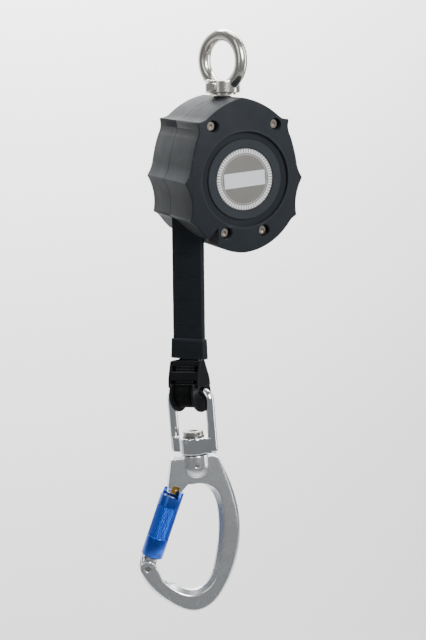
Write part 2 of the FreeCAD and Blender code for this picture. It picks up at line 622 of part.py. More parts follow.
def mouth_guide():
    """Smooth lip set in both covers above the mouth, with a slot for the webbing."""
    low = d.mouth_rise
    body = block(-d.guide_wide / 2, d.guide_wide / 2, -d.guide_thick / 2, d.guide_thick / 2,
                 low, low + d.guide_high)
    half = d.web_wide / 2 + d.run_gap
    slot = block(-half, half, -d.web_thick / 2 - d.run_gap, d.web_thick / 2 + d.run_gap,
                 low - 1, low + d.guide_high + 1)
    shaped("mouth_guide", body.cut(slot), LINE)


def webbing_strand():
    """Webbing from the side of the coil, turning as it drops to the top of the pack."""
    def beside_coil(z):
        """Section of the webbing that still lies square to the coil, `z` above the axis."""
        section = rectangle(d.web_wide, d.web_thick, 0)
        section.Placement = LINE.inverse() * HOUSING * Placement(
            Vector(-d.coil_rad - d.coil_gap - d.web_thick / 2, d.web_centre, z),
            Rotation(Z_AXIS, -90))
        return section

    top, turning = beside_coil(0), beside_coil(-d.strand_straight)
    middle = rectangle(d.web_wide, d.web_thick, d.mouth_rise + d.guide_high)
    low = rectangle(d.web_wide, d.web_thick, 0)
    straight = Part.makeLoft([turning, top], True, True)
    upper = Part.makeLoft([middle, turning], True, True)
    lower = Part.makeLoft([low, middle], True, True)
    shaped("webbing_strand", upper.fuse([lower, straight]).removeSplitter(), LINE)


def pack_sleeve():
    """Rubber sleeve over the absorber, with shallow slots moulded in both broad faces."""
    body = block(-d.pack_wide / 2, d.pack_wide / 2, -d.pack_thick / 2, d.pack_thick / 2,
                 -d.pack_long, 0)
    edges = [e for e in body.Edges if abs(e.tangentAt(e.FirstParameter).z) > 0.9]
    body = body.makeFillet(d.pack_thick * 0.3, edges)
    tools = [block(-d.core_wide / 2 - d.core_gap, d.core_wide / 2 + d.core_gap,
                   -d.core_thick / 2 - d.core_gap, d.core_thick / 2 + d.core_gap,
                   -d.pack_long - 1, 1)]
    for number in range(int(d.slots)):
        z = -d.slot_first - number * d.slot_step
        for side in (-1, 1):
            face = side * d.pack_thick / 2
            tools.append(block(-d.slot_wide / 2, d.slot_wide / 2,
                               min(face, face - side * d.slot_deep),
                               max(face, face - side * d.slot_deep),
                               z - d.slot_high / 2, z + d.slot_high / 2))
    shaped("pack_sleeve", body.cut(tools), LINE)


def absorber_pack():
    """Folded tear webbing inside the sleeve, down to the keeper's lower edge."""
    low = -d.pack_long - d.keeper_high
    shaped("absorber_pack", block(-d.core_wide / 2, d.core_wide / 2, -d.core_thick / 2,
                                  d.core_thick / 2, low, 0), LINE)


def keeper_band():
    """Rubber band round the end of the pack, a little wider at its lower edge."""
    top, low = -d.pack_long, -d.pack_long - d.keeper_high
    body = Part.makeLoft([rectangle(d.keeper_wide, d.keeper_thick, low),
                          rectangle(d.keeper_wide - d.keeper_gap * 2, d.keeper_thick - 0.6, top)],
                         True, True)
    bore = block(-d.core_wide / 2 - d.core_gap, d.core_wide / 2 + d.core_gap,
                 -d.core_thick / 2 - d.core_gap, d.core_thick / 2 + d.core_gap, low - 1, top + 1)
    shaped("keeper_band", body.cut(bore), LINE)


# ---------------------------------------------------------------- guard, thimble and loop
loop_outer = d.thimble_groove + 0.1 + d.loop_thick
rim_out = d.web_wide / 2 + 0.4 + d.rim_thick


def hull_profile(radius, neck, top, x0, x1):
    """Teardrop prism: a circle round the thimble's centre joined by tangents to a neck above."""
    centre = Vector(x0, 0, -d.thimble_sink)
    corner = Vector(x0, neck, top)
    away = corner - centre
    reach = math.hypot(away.y, away.z)
    turn = math.atan2(away.z, away.y) - math.acos(radius / reach)
    touch = centre + Vector(0, math.cos(turn), math.sin(turn)) * radius
    mirror = Vector(x0, -touch.y, touch.z)
    edges = [line(corner, touch), arc(touch, centre - Vector(0, 0, radius), mirror),
             line(mirror, Vector(x0, -neck, top))]
    edges.append(line(Vector(x0, -neck, top), corner))
    return prism(edges, Vector(x1 - x0, 0, 0))


def webbing_loop():
    """Eye sewn in the webbing: round the thimble and up into the keeper."""
    half = d.web_wide / 2
    neck = d.core_thick / 2
    top = d.bar_below - d.pack_long - d.keeper_high
    outer = hull_profile(loop_outer, neck, top - 0.8, -half, half)
    inner = hull_profile(d.thimble_groove + 0.1, 0.2, d.guard_top - 6.0, -half - 1, half + 1)
    shaped("webbing_loop", outer.cut(inner), GRIP)


def thimble():
    """Plastic saddle between the bar and the loop, with a rim each side; its top is cut flat."""
    centre = Vector(0, 0, -d.thimble_sink)
    half = d.web_wide / 2 + 0.4
    core = rod(d.thimble_groove, centre - X_AXIS * rim_out, centre + X_AXIS * rim_out)
    rims = [rod(d.thimble_rim, centre + X_AXIS * side * half, centre + X_AXIS * side * rim_out)
            for side in (-1, 1)]
    bore = rod(d.bar_rad + d.bar_play, Vector(-30, 0, 0), Vector(30, 0, 0))
    above = block(-30, 30, -30, 30, d.thimble_top, 60)
    shaped("thimble", core.fuse(rims).cut([bore, above]), GRIP)


def loop_guard():
    """Open plastic frame over the loop: side walls, a top bar, a slot and a middle bar."""
    half, inside = d.guard_wide / 2, d.guard_wide / 2 - d.guard_wall
    skin = d.guard_skin

    def profile(points, x):
        corners = [Vector(-x, y, z) for y, z in points]
        corners += [Vector(-x, -y, z) for y, z in reversed(points)]
        return prism([line(a, b) for a, b in zip(corners, corners[1:] + corners[:1])],
                     Vector(2 * x, 0, 0))
    top, low = d.guard_top, d.guard_low
    shape = [(3.6, top), (7.2, top - 9.0), (9.6, top - 16.0), (10.4, low)]
    body = profile(shape, half)
    hollow = [(3.6 - skin + 0.3, top + 1), (3.6 - skin + 0.3, top - 0.1)]
    hollow += [(y - skin, z) for y, z in shape[1:-1]] + [(shape[-1][0] - skin, low - 1)]
    room = profile(hollow, inside)
    window = block(-inside, inside, -20, 20, low - 1, top - 16.2)
    slot = block(-inside, inside, -20, 20, top - 9.2, top - 4.0)
    notches = [rod(0.9, Vector(-half - 1, y, low), Vector(half + 1, y, low)) for y in (3.4, 7.2)]
    shaped("loop_guard", body.cut([room, window, slot] + notches), GRIP)


# ---------------------------------------------------------------- bail and swivel
swivel_low = -d.swivel_top - d.swivel_high
bush_out = d.swivel_pin_rad + d.fit + d.swivel_bush


def swivel_bail():
    """Forged bail: a bar bent over the thimble, two legs and the swivel's barrel between them."""
    x, bend, foot = d.leg_x, d.bail_bend, swivel_low + d.bar_rad
    turn = bend * (1 - math.cos(math.radians(45)))
    edges = [line(Vector(-x, 0, foot), Vector(-x, 0, -bend)),
             arc(Vector(-x, 0, -bend), Vector(-x + turn, 0, -turn), Vector(-x + bend, 0, 0)),
             line(Vector(-x + bend, 0, 0), Vector(x - bend, 0, 0)),
             arc(Vector(x - bend, 0, 0), Vector(x - turn, 0, -turn), Vector(x, 0, -bend)),
             line(Vector(x, 0, -bend), Vector(x, 0, foot))]
    section = Part.Wire(Part.makeCircle(d.bar_rad, Vector(-x, 0, foot), Z_AXIS))
    bar = Part.Wire(edges).makePipeShell([section], True, True)
    feet = [Part.makeSphere(d.bar_rad, Vector(side * x, 0, foot)) for side in (-1, 1)]
    barrel = rod(d.swivel_rad, Vector(0, 0, swivel_low), Vector(0, 0, -d.swivel_top))
    edges = [e for e in barrel.Edges if e.Curve.TypeId == "Part::GeomCircle"]
    barrel = barrel.makeFillet(d.barrel_round, edges)
    lugs = block(-x, x, -d.lug_half, d.lug_half, swivel_low + 0.8, -d.swivel_top - 0.6)
    bore = rod(bush_out, Vector(0, 0, swivel_low - 1), Vector(0, 0, -d.swivel_top + 1))
    pin = rod(d.lock_pin_rad, Vector(0, -d.swivel_rad - 1, swivel_low + d.lock_pin_z),
              Vector(0, -d.swivel_rad + d.lock_pin_long, swivel_low + d.lock_pin_z))
    shaped("swivel_bail", bar.fuse(feet + [barrel, lugs]).cut([bore, pin]), GRIP)
    plug = rod(d.lock_pin_rad, Vector(0, -d.swivel_rad - 0.1, swivel_low + d.lock_pin_z),
               Vector(0, -d.swivel_rad + d.lock_pin_long, swivel_low + d.lock_pin_z))
    shaped("bush_lock_pin", plug, GRIP)
    ring("bail_bush", bush_out, "swivel_pin_rad + fit", swivel_low, "swivel_high", GRIP, "z")
    over = d.nut_rad + d.disc_over
    discs = [rod(over, Vector(0, 0, z), Vector(0, 0, z + d.disc_thick)).cut(
        rod(d.swivel_pin_rad + d.fit, Vector(0, 0, z), Vector(0, 0, z + d.disc_thick)))
        for z in (-d.swivel_top, swivel_low - d.disc_thick)]
    shaped("thrust_washers", Part.Compound(discs), GRIP)


def swivel_stud():
    """Stud from the connector's boss up through the bail, and the round nut riveted on it."""
    nut_low = -d.swivel_top + d.disc_thick + d.swivel_gap
    nut_top = nut_low + d.nut_high
    stud_top = nut_top - d.nut_hole_deep
    turn = Rotation(Z_AXIS, d.swivel_spin)
    frame = GRIP * Placement(Vector(), turn)
    stud = rod(d.swivel_pin_rad, Vector(0, 0, connector_top - d.stud_sunk), Vector(0, 0, stud_top))
    cross = rod(d.cross_pin_rad, Vector(0, -FAR, connector_top + d.cross_pin_z),
                Vector(0, FAR, connector_top + d.cross_pin_z))
    shaped("swivel_stud", stud.cut(cross), frame)
    nut = rod(d.nut_rad, Vector(0, 0, nut_low), Vector(0, 0, nut_top))
    rims = [e for e in nut.Edges if e.Curve.TypeId == "Part::GeomCircle" and e.CenterOfMass.z > nut_low + 1]
    nut = nut.makeFillet(0.8, rims)
    nut = nut.cut([rod(d.swivel_pin_rad, Vector(0, 0, nut_low - 1), Vector(0, 0, stud_top)),
                   rod(d.nut_hole, Vector(0, 0, stud_top - 1), Vector(0, 0, nut_top + 1))])
    shaped("swivel_nut", nut, frame)


# ---------------------------------------------------------------- carabiner
gate_turn = Rotation(Y_AXIS, d.gate_tilt)
pin_at = Vector(d.pin_x, 0, d.pin_z)


def gate_point(x, z):
    """Place given along and across the gate's axis, in the connector's frame."""
    return pin_at + gate_turn.multVec(Vector(x, 0, z))


SPINE = [(20.0, -4.1), (29.8, -31.0), (34.4, -61.0), (29.6, -95.0), (15.0, -125.0),
         (3.0, -137.2), (-12.5, -141.2), (-34.0, -131.0), (-50.5, -114.5), (-57.4, -97.0)]
BAY = [(-38.5, -108.0), (-26.0, -114.8), (-12.0, -120.8), (-2.6, -118.4), (9.5, -98.0),
       (15.8, -62.0), (11.0, -34.0), (1.0, -25.6)]


def inset(points, depth):
    """Points of a curve, all but its ends moved into the metal by `depth`."""
    moved = []
    for number, (x, z) in enumerate(points):
        before, after = points[max(number - 1, 0)], points[min(number + 1, len(points) - 1)]
        along = Vector(after[0] - before[0], 0, after[1] - before[1]).normalize()
        inner = 0 < number < len(points) - 1
        moved.append(Vector(x, 0, z) + Vector(along.z, 0, -along.x) * (depth if inner else 0))
    return moved


def body_section(y, spine_in, bay_in):
    """Outline of the forging at one depth, its spine and bay drawn in for the bevels."""
    shift = Vector(0, y, 0)
    spine, bay = inset(SPINE, spine_in), inset(BAY, bay_in)
    nose = d.sleeve_high + d.nose_gap
    lip = d.sleeve_low - 0.6
    corners = [gate_point(-9.2, lip), gate_point(-7.2, lip), gate_point(-7.2, 2.5),
               gate_point(d.knuckle_rad + 0.4, 2.5)]
    brow = [Vector(-9.0, 0, bay[-1].z), gate_point(d.gate_rad, nose), gate_point(-d.gate_rad, nose),
            Vector(-22.0, 0, -d.shoulder_drop), Vector(17.0, 0, -d.shoulder_drop)]
    runs = [spine[-1]] + corners + [bay[0]]
    edges = [curve(spine)] + [line(p, q) for p, q in zip(runs, runs[1:])] + [curve(bay)]
    runs = [bay[-1]] + brow + [spine[0]]
    edges += [line(p, q) for p, q in zip(runs, runs[1:])]
    wire = Part.Wire(edges)
    wire.translate(shift)
    return wire


def carabiner_body():
    """Forged body: flat top with a round boss, bowed spine, straight foot and open gate side."""
    half, flat = d.body_thick / 2, d.body_thick / 2 - d.bevel_down
    body = Part.Face(body_section(-flat, 0, 0)).extrude(Vector(0, 2 * flat, 0))
    for side in (-1, 1):
        bevel = Part.makeLoft([body_section(side * flat, 0, 0),
                               body_section(side * half, d.spine_bevel, d.bay_bevel)], True, True)
        body = body.fuse(bevel)
    boss = rod(d.boss_rad, Vector(0, 0, 0), Vector(0, 0, -d.boss_straight)).fuse(
        Part.makeSphere(d.boss_rad, Vector(0, 0, -d.boss_straight), Z_AXIS, -90, 0, 360))
    knuckle = rod(d.knuckle_rad, pin_at - Y_AXIS * half, pin_at + Y_AXIS * half)
    stub = rod(d.nose_rad, gate_point(0, d.sleeve_high - d.nose_lap), gate_point(0, d.nose_top))
    body = body.fuse([boss, knuckle])
    room = rod(d.sleeve_rad + 0.5, gate_point(0, 60.0), gate_point(0, d.sleeve_high + d.nose_gap))
    tools = [room]
    tongue = d.tongue_half + d.tongue_gap
    tools.append(rod(d.gate_rad + 3.0, pin_at - Y_AXIS * tongue, pin_at + Y_AXIS * tongue))
    for step in range(5):
        swing = Rotation(Y_AXIS, d.gate_tilt + d.gate_swing * step / 4)
        along = swing.multVec(Z_AXIS)
        tools.append(rod(d.gate_rad + 0.4, pin_at + along * (d.gate_foot - 0.3),
                         pin_at + along * 30.0))
    tools.append(rod(d.hinge_pin_rad, pin_at - Y_AXIS * 20, pin_at + Y_AXIS * 20))
    tools.append(rod(d.swivel_pin_rad, Vector(0, 0, -d.stud_sunk), Vector(0, 0, FAR)))
    tools.append(rod(d.cross_pin_rad, Vector(0, -FAR, d.cross_pin_z), Vector(0, FAR, d.cross_pin_z)))
    body = body.cut(tools).fuse(stub.cut(boss))
    body = body.cut(insert_room())
    shaped("carabiner_body", body, CONNECTOR)


def insert_room(reach=FAR):
    """Window in the nose's front for the brass insert, open towards the front."""
    low, high = d.sleeve_high - d.nose_lap + d.insert_lift, d.insert_top
    room = block(-d.insert_half + d.insert_side, d.insert_half + d.insert_side,
                 -reach, -d.insert_back, low, high)
    room.Placement = Placement(pin_at, gate_turn)
    return room


def insert_block():
    """Brass insert: what the window takes out of the round nose."""
    low, high = gate_point(0, d.sleeve_high - d.nose_lap), gate_point(0, d.insert_top)
    return insert_room(d.boss_rad).common(rod(d.nose_rad, low, high))


def connector_fittings():
    """Brass insert and ball in the nose, the hinge pin and the boss's cross pin."""
    ball_at = gate_point(d.ball_x, d.ball_z) - Y_AXIS * d.ball_out
    ball = Part.makeSphere(d.ball_rad, ball_at)
    shaped("nose_insert", insert_block().cut(ball), CONNECTOR)
    shaped("nose_ball", ball, CONNECTOR)
    half = d.body_thick / 2 + 0.3
    shaped("gate_hinge_pin", rod(d.hinge_pin_rad, pin_at - Y_AXIS * half, pin_at + Y_AXIS * half),
           CONNECTOR)
    reach = d.boss_rad + 0.2
    shaped("boss_cross_pin", rod(d.cross_pin_rad, Vector(0, -reach, d.cross_pin_z),
                                 Vector(0, reach, d.cross_pin_z)), CONNECTOR)


def gate():
    """Round gate with a flat tongue on the hinge pin and a groove for the sleeve's stop ring."""
    bar = rod(d.gate_rad, Vector(0, 0, d.gate_foot), Vector(0, 0, d.gate_end))
    tongue = block(-d.tongue_rad, d.tongue_rad, -d.tongue_half, d.tongue_half, 0, d.gate_foot + 1)
    knuckle = rod(d.tongue_rad, Y_AXIS * -d.tongue_half, Y_AXIS * d.tongue_half)
    hole = rod(d.hinge_pin_rad + d.fit, Y_AXIS * -9, Y_AXIS * 9)
    bore = rod(d.gate_bore, Vector(0, 0, d.bore_low), Vector(0, 0, d.bore_high))
    groove_z = d.sleeve_low - d.ring_thick
    groove = rod(9, Vector(0, 0, groove_z), Vector(0, 0, d.sleeve_low)).cut(
        rod(d.gate_rad - d.ring_groove, Vector(0, 0, groove_z), Vector(0, 0, d.sleeve_low)))
    shaped("gate", bar.fuse([tongue, knuckle]).cut([hole, bore, groove]), GATE)
    ends = Vector(0, 0, d.bore_low + d.spring_end), Vector(0, 0, d.bore_high - d.spring_end)
    outside = d.gate_bore - d.spring_play
    spring = rod(outside, *ends).cut(rod(outside - d.spring_wall, *ends))
    shaped("gate_spring", spring, GATE)
    stop = rod(d.gate_rad + 0.9, Vector(0, 0, groove_z), Vector(0, 0, groove_z + d.ring_thick - 0.1))
    stop = stop.cut(rod(d.gate_rad - d.ring_groove, Vector(0, 0, 0), Vector(0, 0, 20)))
    shaped("sleeve_stop_ring", stop, GATE)


def locking_sleeve():
    """Twist sleeve on the gate; the notch in its rim lets the nose out when it is turned back."""
    low, high = d.sleeve_low, d.sleeve_high
    tube = rod(d.sleeve_rad, Vector(0, 0, low), Vector(0, 0, high)).cut(
        rod(d.gate_rad + d.sleeve_bore_gap, Vector(0, 0, low), Vector(0, 0, high)))
    side = d.nose_rad + d.notch_play
    notch = block(-20, d.notch_over, -20, side, high - d.notch_deep, high + 1)
    shaped("locking_sleeve", tube.cut(notch), GATE)


# ---------------------------------------------------------------- build
anchor_eye_nut()
anchor_stud()
anchor_washer()
front_cover()
rear_cover()
nameplate()
cover_screws()
cover_inserts()
frame_plate("frame_plate_front", frame_front_y + d.frame_thick)
frame_plate("frame_plate_rear", frame_rear_y + d.frame_thick)
yoke_block()
swivel_bush()
frame_spacer()
frame_rivets()
drum_axle()
ratchet_ring()
drum_parts()
pawl("pawl_a", 1)
pawl("pawl_b", -1)
pawl_fittings()
spring_case()
mainspring()
mouth_guide()
webbing_strand()
pack_sleeve()
absorber_pack()
keeper_band()
webbing_loop()
thimble()
loop_guard()
swivel_bail()
swivel_stud()
carabiner_body()
connector_fittings()
gate()
locking_sleeve()
doc.recompute()

for obj in doc.Objects:
    if "Invalid" in obj.State or "Error" in obj.State:
        raise SystemExit(f"{obj.Label} did not build: {obj.State}")
for sub in pieces:
    if sub.Shape.isNull() or not sub.Shape.isValid():
        raise SystemExit(f"{sub.Label} has no valid shape")
for sub in pieces:
    sub.Shape.exportStep(f"parts/{sub.Label}.step")
    print(f"{sub.Label:22s} {len(sub.Shape.Solids)} solids  {sub.Shape.Volume / 1000:9.3f} cm3")
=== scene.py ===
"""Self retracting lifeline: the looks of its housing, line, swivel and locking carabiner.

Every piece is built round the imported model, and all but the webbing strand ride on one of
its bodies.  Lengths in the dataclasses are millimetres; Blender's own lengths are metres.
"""
import json
import logging
import math
from dataclasses import dataclass
from enum import Enum
from typing import Callable, Sequence

import bmesh
import bpy
from mathutils import Matrix, Vector
from mathutils.bvhtree import BVHTree


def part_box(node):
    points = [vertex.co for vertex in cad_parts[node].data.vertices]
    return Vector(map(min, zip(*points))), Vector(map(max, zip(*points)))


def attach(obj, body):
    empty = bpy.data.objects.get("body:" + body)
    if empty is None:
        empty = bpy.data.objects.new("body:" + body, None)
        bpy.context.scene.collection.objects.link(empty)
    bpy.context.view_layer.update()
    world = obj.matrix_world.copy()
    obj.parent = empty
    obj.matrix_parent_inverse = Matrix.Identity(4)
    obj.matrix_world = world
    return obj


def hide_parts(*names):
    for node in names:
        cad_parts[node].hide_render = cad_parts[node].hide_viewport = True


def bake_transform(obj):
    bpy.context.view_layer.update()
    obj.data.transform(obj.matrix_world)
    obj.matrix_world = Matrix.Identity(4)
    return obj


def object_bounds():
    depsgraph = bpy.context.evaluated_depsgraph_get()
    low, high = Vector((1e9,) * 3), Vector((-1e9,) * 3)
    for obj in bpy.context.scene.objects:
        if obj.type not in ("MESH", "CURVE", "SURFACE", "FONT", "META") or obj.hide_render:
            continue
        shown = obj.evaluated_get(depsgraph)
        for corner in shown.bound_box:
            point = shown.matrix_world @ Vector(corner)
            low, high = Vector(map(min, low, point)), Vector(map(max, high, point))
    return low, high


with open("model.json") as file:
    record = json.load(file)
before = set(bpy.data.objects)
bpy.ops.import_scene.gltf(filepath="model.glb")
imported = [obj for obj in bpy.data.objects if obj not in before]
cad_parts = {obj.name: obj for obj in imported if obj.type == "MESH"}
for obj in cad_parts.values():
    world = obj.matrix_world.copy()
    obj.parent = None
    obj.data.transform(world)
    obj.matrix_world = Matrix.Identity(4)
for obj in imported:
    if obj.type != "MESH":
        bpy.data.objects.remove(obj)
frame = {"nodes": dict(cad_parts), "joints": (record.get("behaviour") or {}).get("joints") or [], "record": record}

MM = 0.001
CAD_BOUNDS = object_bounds()
LOG = logging.getLogger("lifeline")


# ---------------------------------------------------------------- finishes
class Pattern(Enum):
    """How the surface of a finish was made."""

    MOULDED = "moulded"
    BRUSHED = "brushed"
    POLISHED = "polished"
    WOVEN = "woven"


def linear(colour: str) -> tuple[float, float, float, float]:
    """Turn an sRGB hex colour into the linear colour that shaders take.

    Args:
        colour: six hex digits, with or without a leading #.

    Returns:
        Red, green, blue and an alpha of 1.
    """
    digits = colour.lstrip("#")
    values = [int(digits[i:i + 2], 16) / 255 for i in (0, 2, 4)]
    red, green, blue = (v / 12.92 if v <= 0.04045 else ((v + 0.055) / 1.055) ** 2.4
                        for v in values)
    return red, green, blue, 1.0


def add_node(tree: bpy.types.NodeTree, kind: str, settings: dict | None = None,
             inputs: dict | None = None) -> bpy.types.Node:
    """Add one node, set its properties and fill or link its inputs.

    Args:
        tree: the material's node tree.
        kind: the node's type name.
        settings: properties of the node itself.
        inputs: socket name or number to a value, or to the output socket that feeds it.

    Returns:
        The new node.
    """
    node = tree.nodes.new(kind)
    for key, value in (settings or {}).items():
        setattr(node, key, value)
    for key, value in (inputs or {}).items():
        if isinstance(value, bpy.types.NodeSocket):
            tree.links.new(value, node.inputs[key])
        else:
            node.inputs[key].default_value = value
    return node


@dataclass(frozen=True)
class Finish:
    """One real material with the way its surface was made."""

    name: str
    colour: str
    shade: str
    metallic: float
    roughness: float
    pattern: Pattern
    pitch_mm: float
    relief_mm: float
    # colour mixed onto convex edges: wear on the housing, rubber and guard, a painted highlight on the anodised
    # sleeve
    edge: str = ""
    stretch: tuple[float, float, float] = (1.0, 1.0, 1.0)

    def surface(self, tree: bpy.types.NodeTree, place: bpy.types.NodeSocket
                ) -> bpy.types.NodeSocket:
        """Height pattern of the surface, from 0 to 1.

        Args:
            tree: the material's node tree.
            place: the coordinates to draw it in.

        Returns:
            The socket that carries the height.
        """
        per_metre = 1 / (self.pitch_mm * MM)
        if self.pattern is Pattern.WOVEN:
            bands = [add_node(tree, "ShaderNodeTexWave",
                              {"bands_direction": axis, "wave_profile": "SIN"},
                              {"Vector": place, "Scale": per_metre / 20, "Distortion": 0.3})
                     for axis in ("X", "Z")]
            both = add_node(tree, "ShaderNodeMath", {"operation": "MULTIPLY"},
                            {0: bands[0].outputs["Fac"], 1: bands[1].outputs["Fac"]})
            return both.outputs[0]
        run = add_node(tree, "ShaderNodeMapping", None, {"Vector": place, "Scale": self.stretch})
        grain = add_node(tree, "ShaderNodeTexNoise", None,
                         {"Vector": run.outputs[0], "Scale": per_metre, "Detail": 3.0})
        return grain.outputs["Fac"]

    def build(self) -> bpy.types.Material:
        """Make the material, or return it if it exists.

        Returns:
            The node-based material.
        """
        if self.name in bpy.data.materials:
            return bpy.data.materials[self.name]
        material = bpy.data.materials.new(self.name)
        material.use_nodes = True
        tree = material.node_tree
        shader = tree.nodes["Principled BSDF"]
        place = add_node(tree, "ShaderNodeTexCoord").outputs["Object"]
        height = self.surface(tree, place)
        cloud = add_node(tree, "ShaderNodeTexNoise", None,
                         {"Vector": place, "Scale": 55.0, "Detail": 4.0})
        tone = add_node(tree, "ShaderNodeMixRGB", None,
                        {"Fac": cloud.outputs["Fac"], "Color1": linear(self.colour),
                         "Color2": linear(self.shade)})
        colour = tone.outputs[0]
        if self.pattern is Pattern.WOVEN:
            thread = add_node(tree, "ShaderNodeMixRGB", None,
                              {"Fac": height, "Color1": linear(self.shade), "Color2": colour})
            colour = thread.outputs[0]
        # Lighter colour on convex edges, from pointiness: wear on the housing, rubber and guard, and a painted
        # highlight on the anodised sleeve's edges.
        if self.edge:
            bend = add_node(tree, "ShaderNodeNewGeometry").outputs["Pointiness"]
            edge_wear_and_highlight_mask = add_node(tree, "ShaderNodeMapRange", None,
                            {"Value": bend, "From Min": 0.52, "From Max": 0.60, "To Max": 0.55})
            edge_wear_and_highlight_colour = add_node(tree, "ShaderNodeMixRGB", None,
                              {"Fac": edge_wear_and_highlight_mask.outputs[0], "Color1": colour,
                               "Color2": linear(self.edge)})
            colour = edge_wear_and_highlight_colour.outputs[0]
        tree.links.new(colour, shader.inputs["Base Color"])
        spread = add_node(tree, "ShaderNodeMapRange", None,
                          {"Value": cloud.outputs["Fac"], "To Min": self.roughness * 0.82,
                           "To Max": self.roughness * 1.18})
        tree.links.new(spread.outputs[0], shader.inputs["Roughness"])
        bump = add_node(tree, "ShaderNodeBump", None,
                        {"Height": height, "Distance": self.relief_mm * MM, "Strength": 0.6})
        tree.links.new(bump.outputs[0], shader.inputs["Normal"])
        shader.inputs["Metallic"].default_value = self.metallic
        if self.metallic == 0.0:
            shader.inputs["Specular IOR Level"].default_value = 0.07
        return material


# Nylon moulded in a spark-eroded tool: a dull charcoal with a fine even grain.
HOUSING = Finish("moulded_nylon_spark_texture", "#212428", "#1b1e21", 0.0, 0.55,
                 Pattern.MOULDED, 0.45, 0.05, edge="#383c41")
# Forged stainless steel, lightly polished: bright with soft vertical streaks.
STAINLESS = Finish("polished_stainless_forging", "#c9c6c0", "#a5a29c", 1.0, 0.24,
                   Pattern.BRUSHED, 0.5, 0.015, stretch=(1.0, 1.0, 0.15))
# Turned steel: an even grey with fine rings across the axis.
TURNED = Finish("turned_steel", "#a7a49e", "#8b8883", 1.0, 0.30,
                Pattern.BRUSHED, 0.3, 0.01, stretch=(0.15, 0.15, 1.0))
# Bright nickel plate: warmer than chrome, almost a mirror.
NICKEL = Finish("bright_nickel_plate", "#d8d0c2", "#b9b1a4", 1.0, 0.20,
                Pattern.POLISHED, 1.0, 0.004)
# Turned brass: yellow with a light haze of handling.
BRASS = Finish("turned_brass", "#c79a4b", "#a97f38", 1.0, 0.28, Pattern.POLISHED, 0.8, 0.006)
# Zinc plate on rolled sheet: pale and a little cloudy.
ZINC = Finish("zinc_plated_sheet", "#b5b7b8", "#989b9e", 1.0, 0.38, Pattern.MOULDED, 0.9, 0.01)
# Sintered bronze: brown and porous.
BRONZE = Finish("sintered_bronze", "#9a6a3a", "#7c5330", 1.0, 0.48, Pattern.MOULDED, 0.3, 0.03)
# Hardened steel: dark grey with an oil-quench haze.
HARDENED = Finish("hardened_steel", "#74757a", "#5b5c60", 1.0, 0.36, Pattern.MOULDED, 0.6, 0.01)
# Blued spring strip: dark, with a faint blue cast.
SPRING = Finish("blued_spring_steel", "#3f444f", "#31353e", 1.0, 0.32,
                Pattern.BRUSHED, 0.4, 0.01, stretch=(1.0, 0.2, 1.0))
# Glass filled nylon: black with a slightly open surface.
GLASS_NYLON = Finish("glass_filled_nylon", "#2b2c2e", "#222325", 0.0, 0.58,
                     Pattern.MOULDED, 0.5, 0.04)
# Woven polyester: threads 1.2 mm apart, drawn a little coarse so that they show.
WEBBING = Finish("woven_polyester_webbing", "#101113", "#060707", 0.0, 0.82,
                 Pattern.WOVEN, 1.2, 0.25)
# Moulded rubber: blue-black and softly matt.
RUBBER = Finish("moulded_rubber", "#14171a", "#0f1114", 0.0, 0.50,
                Pattern.MOULDED, 0.7, 0.03, edge="#2f353b")
# Moulded nylon guard: smoother than the housing, so it catches a sharper light.
GUARD = Finish("moulded_nylon_smooth", "#111315", "#0c0e10", 0.0, 0.34,
               Pattern.MOULDED, 1.2, 0.02, edge="#33383c")
# Decorative chrome on a forging: a clear mirror with small waves from the hammer.
CHROME = Finish("chrome_plated_forging", "#d9dbdd", "#c3c6c9", 1.0, 0.10,
                Pattern.POLISHED, 6.0, 0.03)
# Tumbled and polished aluminium: silver with a soft satin haze.
ALUMINIUM = Finish("tumbled_aluminium_forging", "#d3d5d7", "#bfc2c5", 1.0, 0.27,
                   Pattern.POLISHED, 2.5, 0.012)
# Blue anodised aluminium: a dyed metal, deep in the shade; its paler edge colour is a painted highlight where
# light grazes it.
ANODISED = Finish("blue_anodised_aluminium", "#1f4fc0", "#173f9f", 1.0, 0.30,
                  Pattern.POLISHED, 1.0, 0.01, edge="#6f95e6")
# Etched aluminium plate: warm mid grey with a fine horizontal grain.
PLATE = Finish("etched_plate", "#6f6d69", "#5f5d5a", 0.5, 0.42,
               Pattern.BRUSHED, 0.4, 0.008, stretch=(0.1, 1.0, 1.0))
# Screen-printed white ink: flat and slightly chalky.
INK = Finish("white_printing_ink", "#c9cbcc", "#b8babb", 0.0, 0.60, Pattern.MOULDED, 0.3, 0.01)
# Screen-printed grey ink: the blank band across the plate, flat and even.
BAND = Finish("grey_printing_ink", "#b8bcc0", "#a9adb1", 0.0, 0.55, Pattern.MOULDED, 0.3, 0.01)
# Bonded polyester thread: heavier than the webbing's own yarn, with a dull shine.
THREAD = Finish("bonded_thread", "#3a3d41", "#2b2e31", 0.0, 0.60, Pattern.MOULDED, 0.3, 0.05)

SLOT_FINISH = {
    "stainless": STAINLESS, "stud_steel": TURNED, "housing_plastic": HOUSING,
    "plate_metal": PLATE, "nickel_steel": NICKEL, "brass_parts": BRASS, "frame_steel": ZINC,
    "bronze": BRONZE, "brake_steel": HARDENED, "spring_steel": SPRING,
    "drum_plastic": GLASS_NYLON, "webbing": WEBBING, "sleeve_rubber": RUBBER,
    "guard_plastic": GUARD, "chrome_steel": CHROME, "nut_steel": TURNED,
    "forged_aluminium": ALUMINIUM, "blue_anodised": ANODISED,
}


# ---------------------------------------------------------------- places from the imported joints
JOINTS = {joint["name"]: joint for joint in frame["joints"]}
SLOT_OF = {part["node"]: part["material_slot"] for part in frame["record"]["subparts"]}


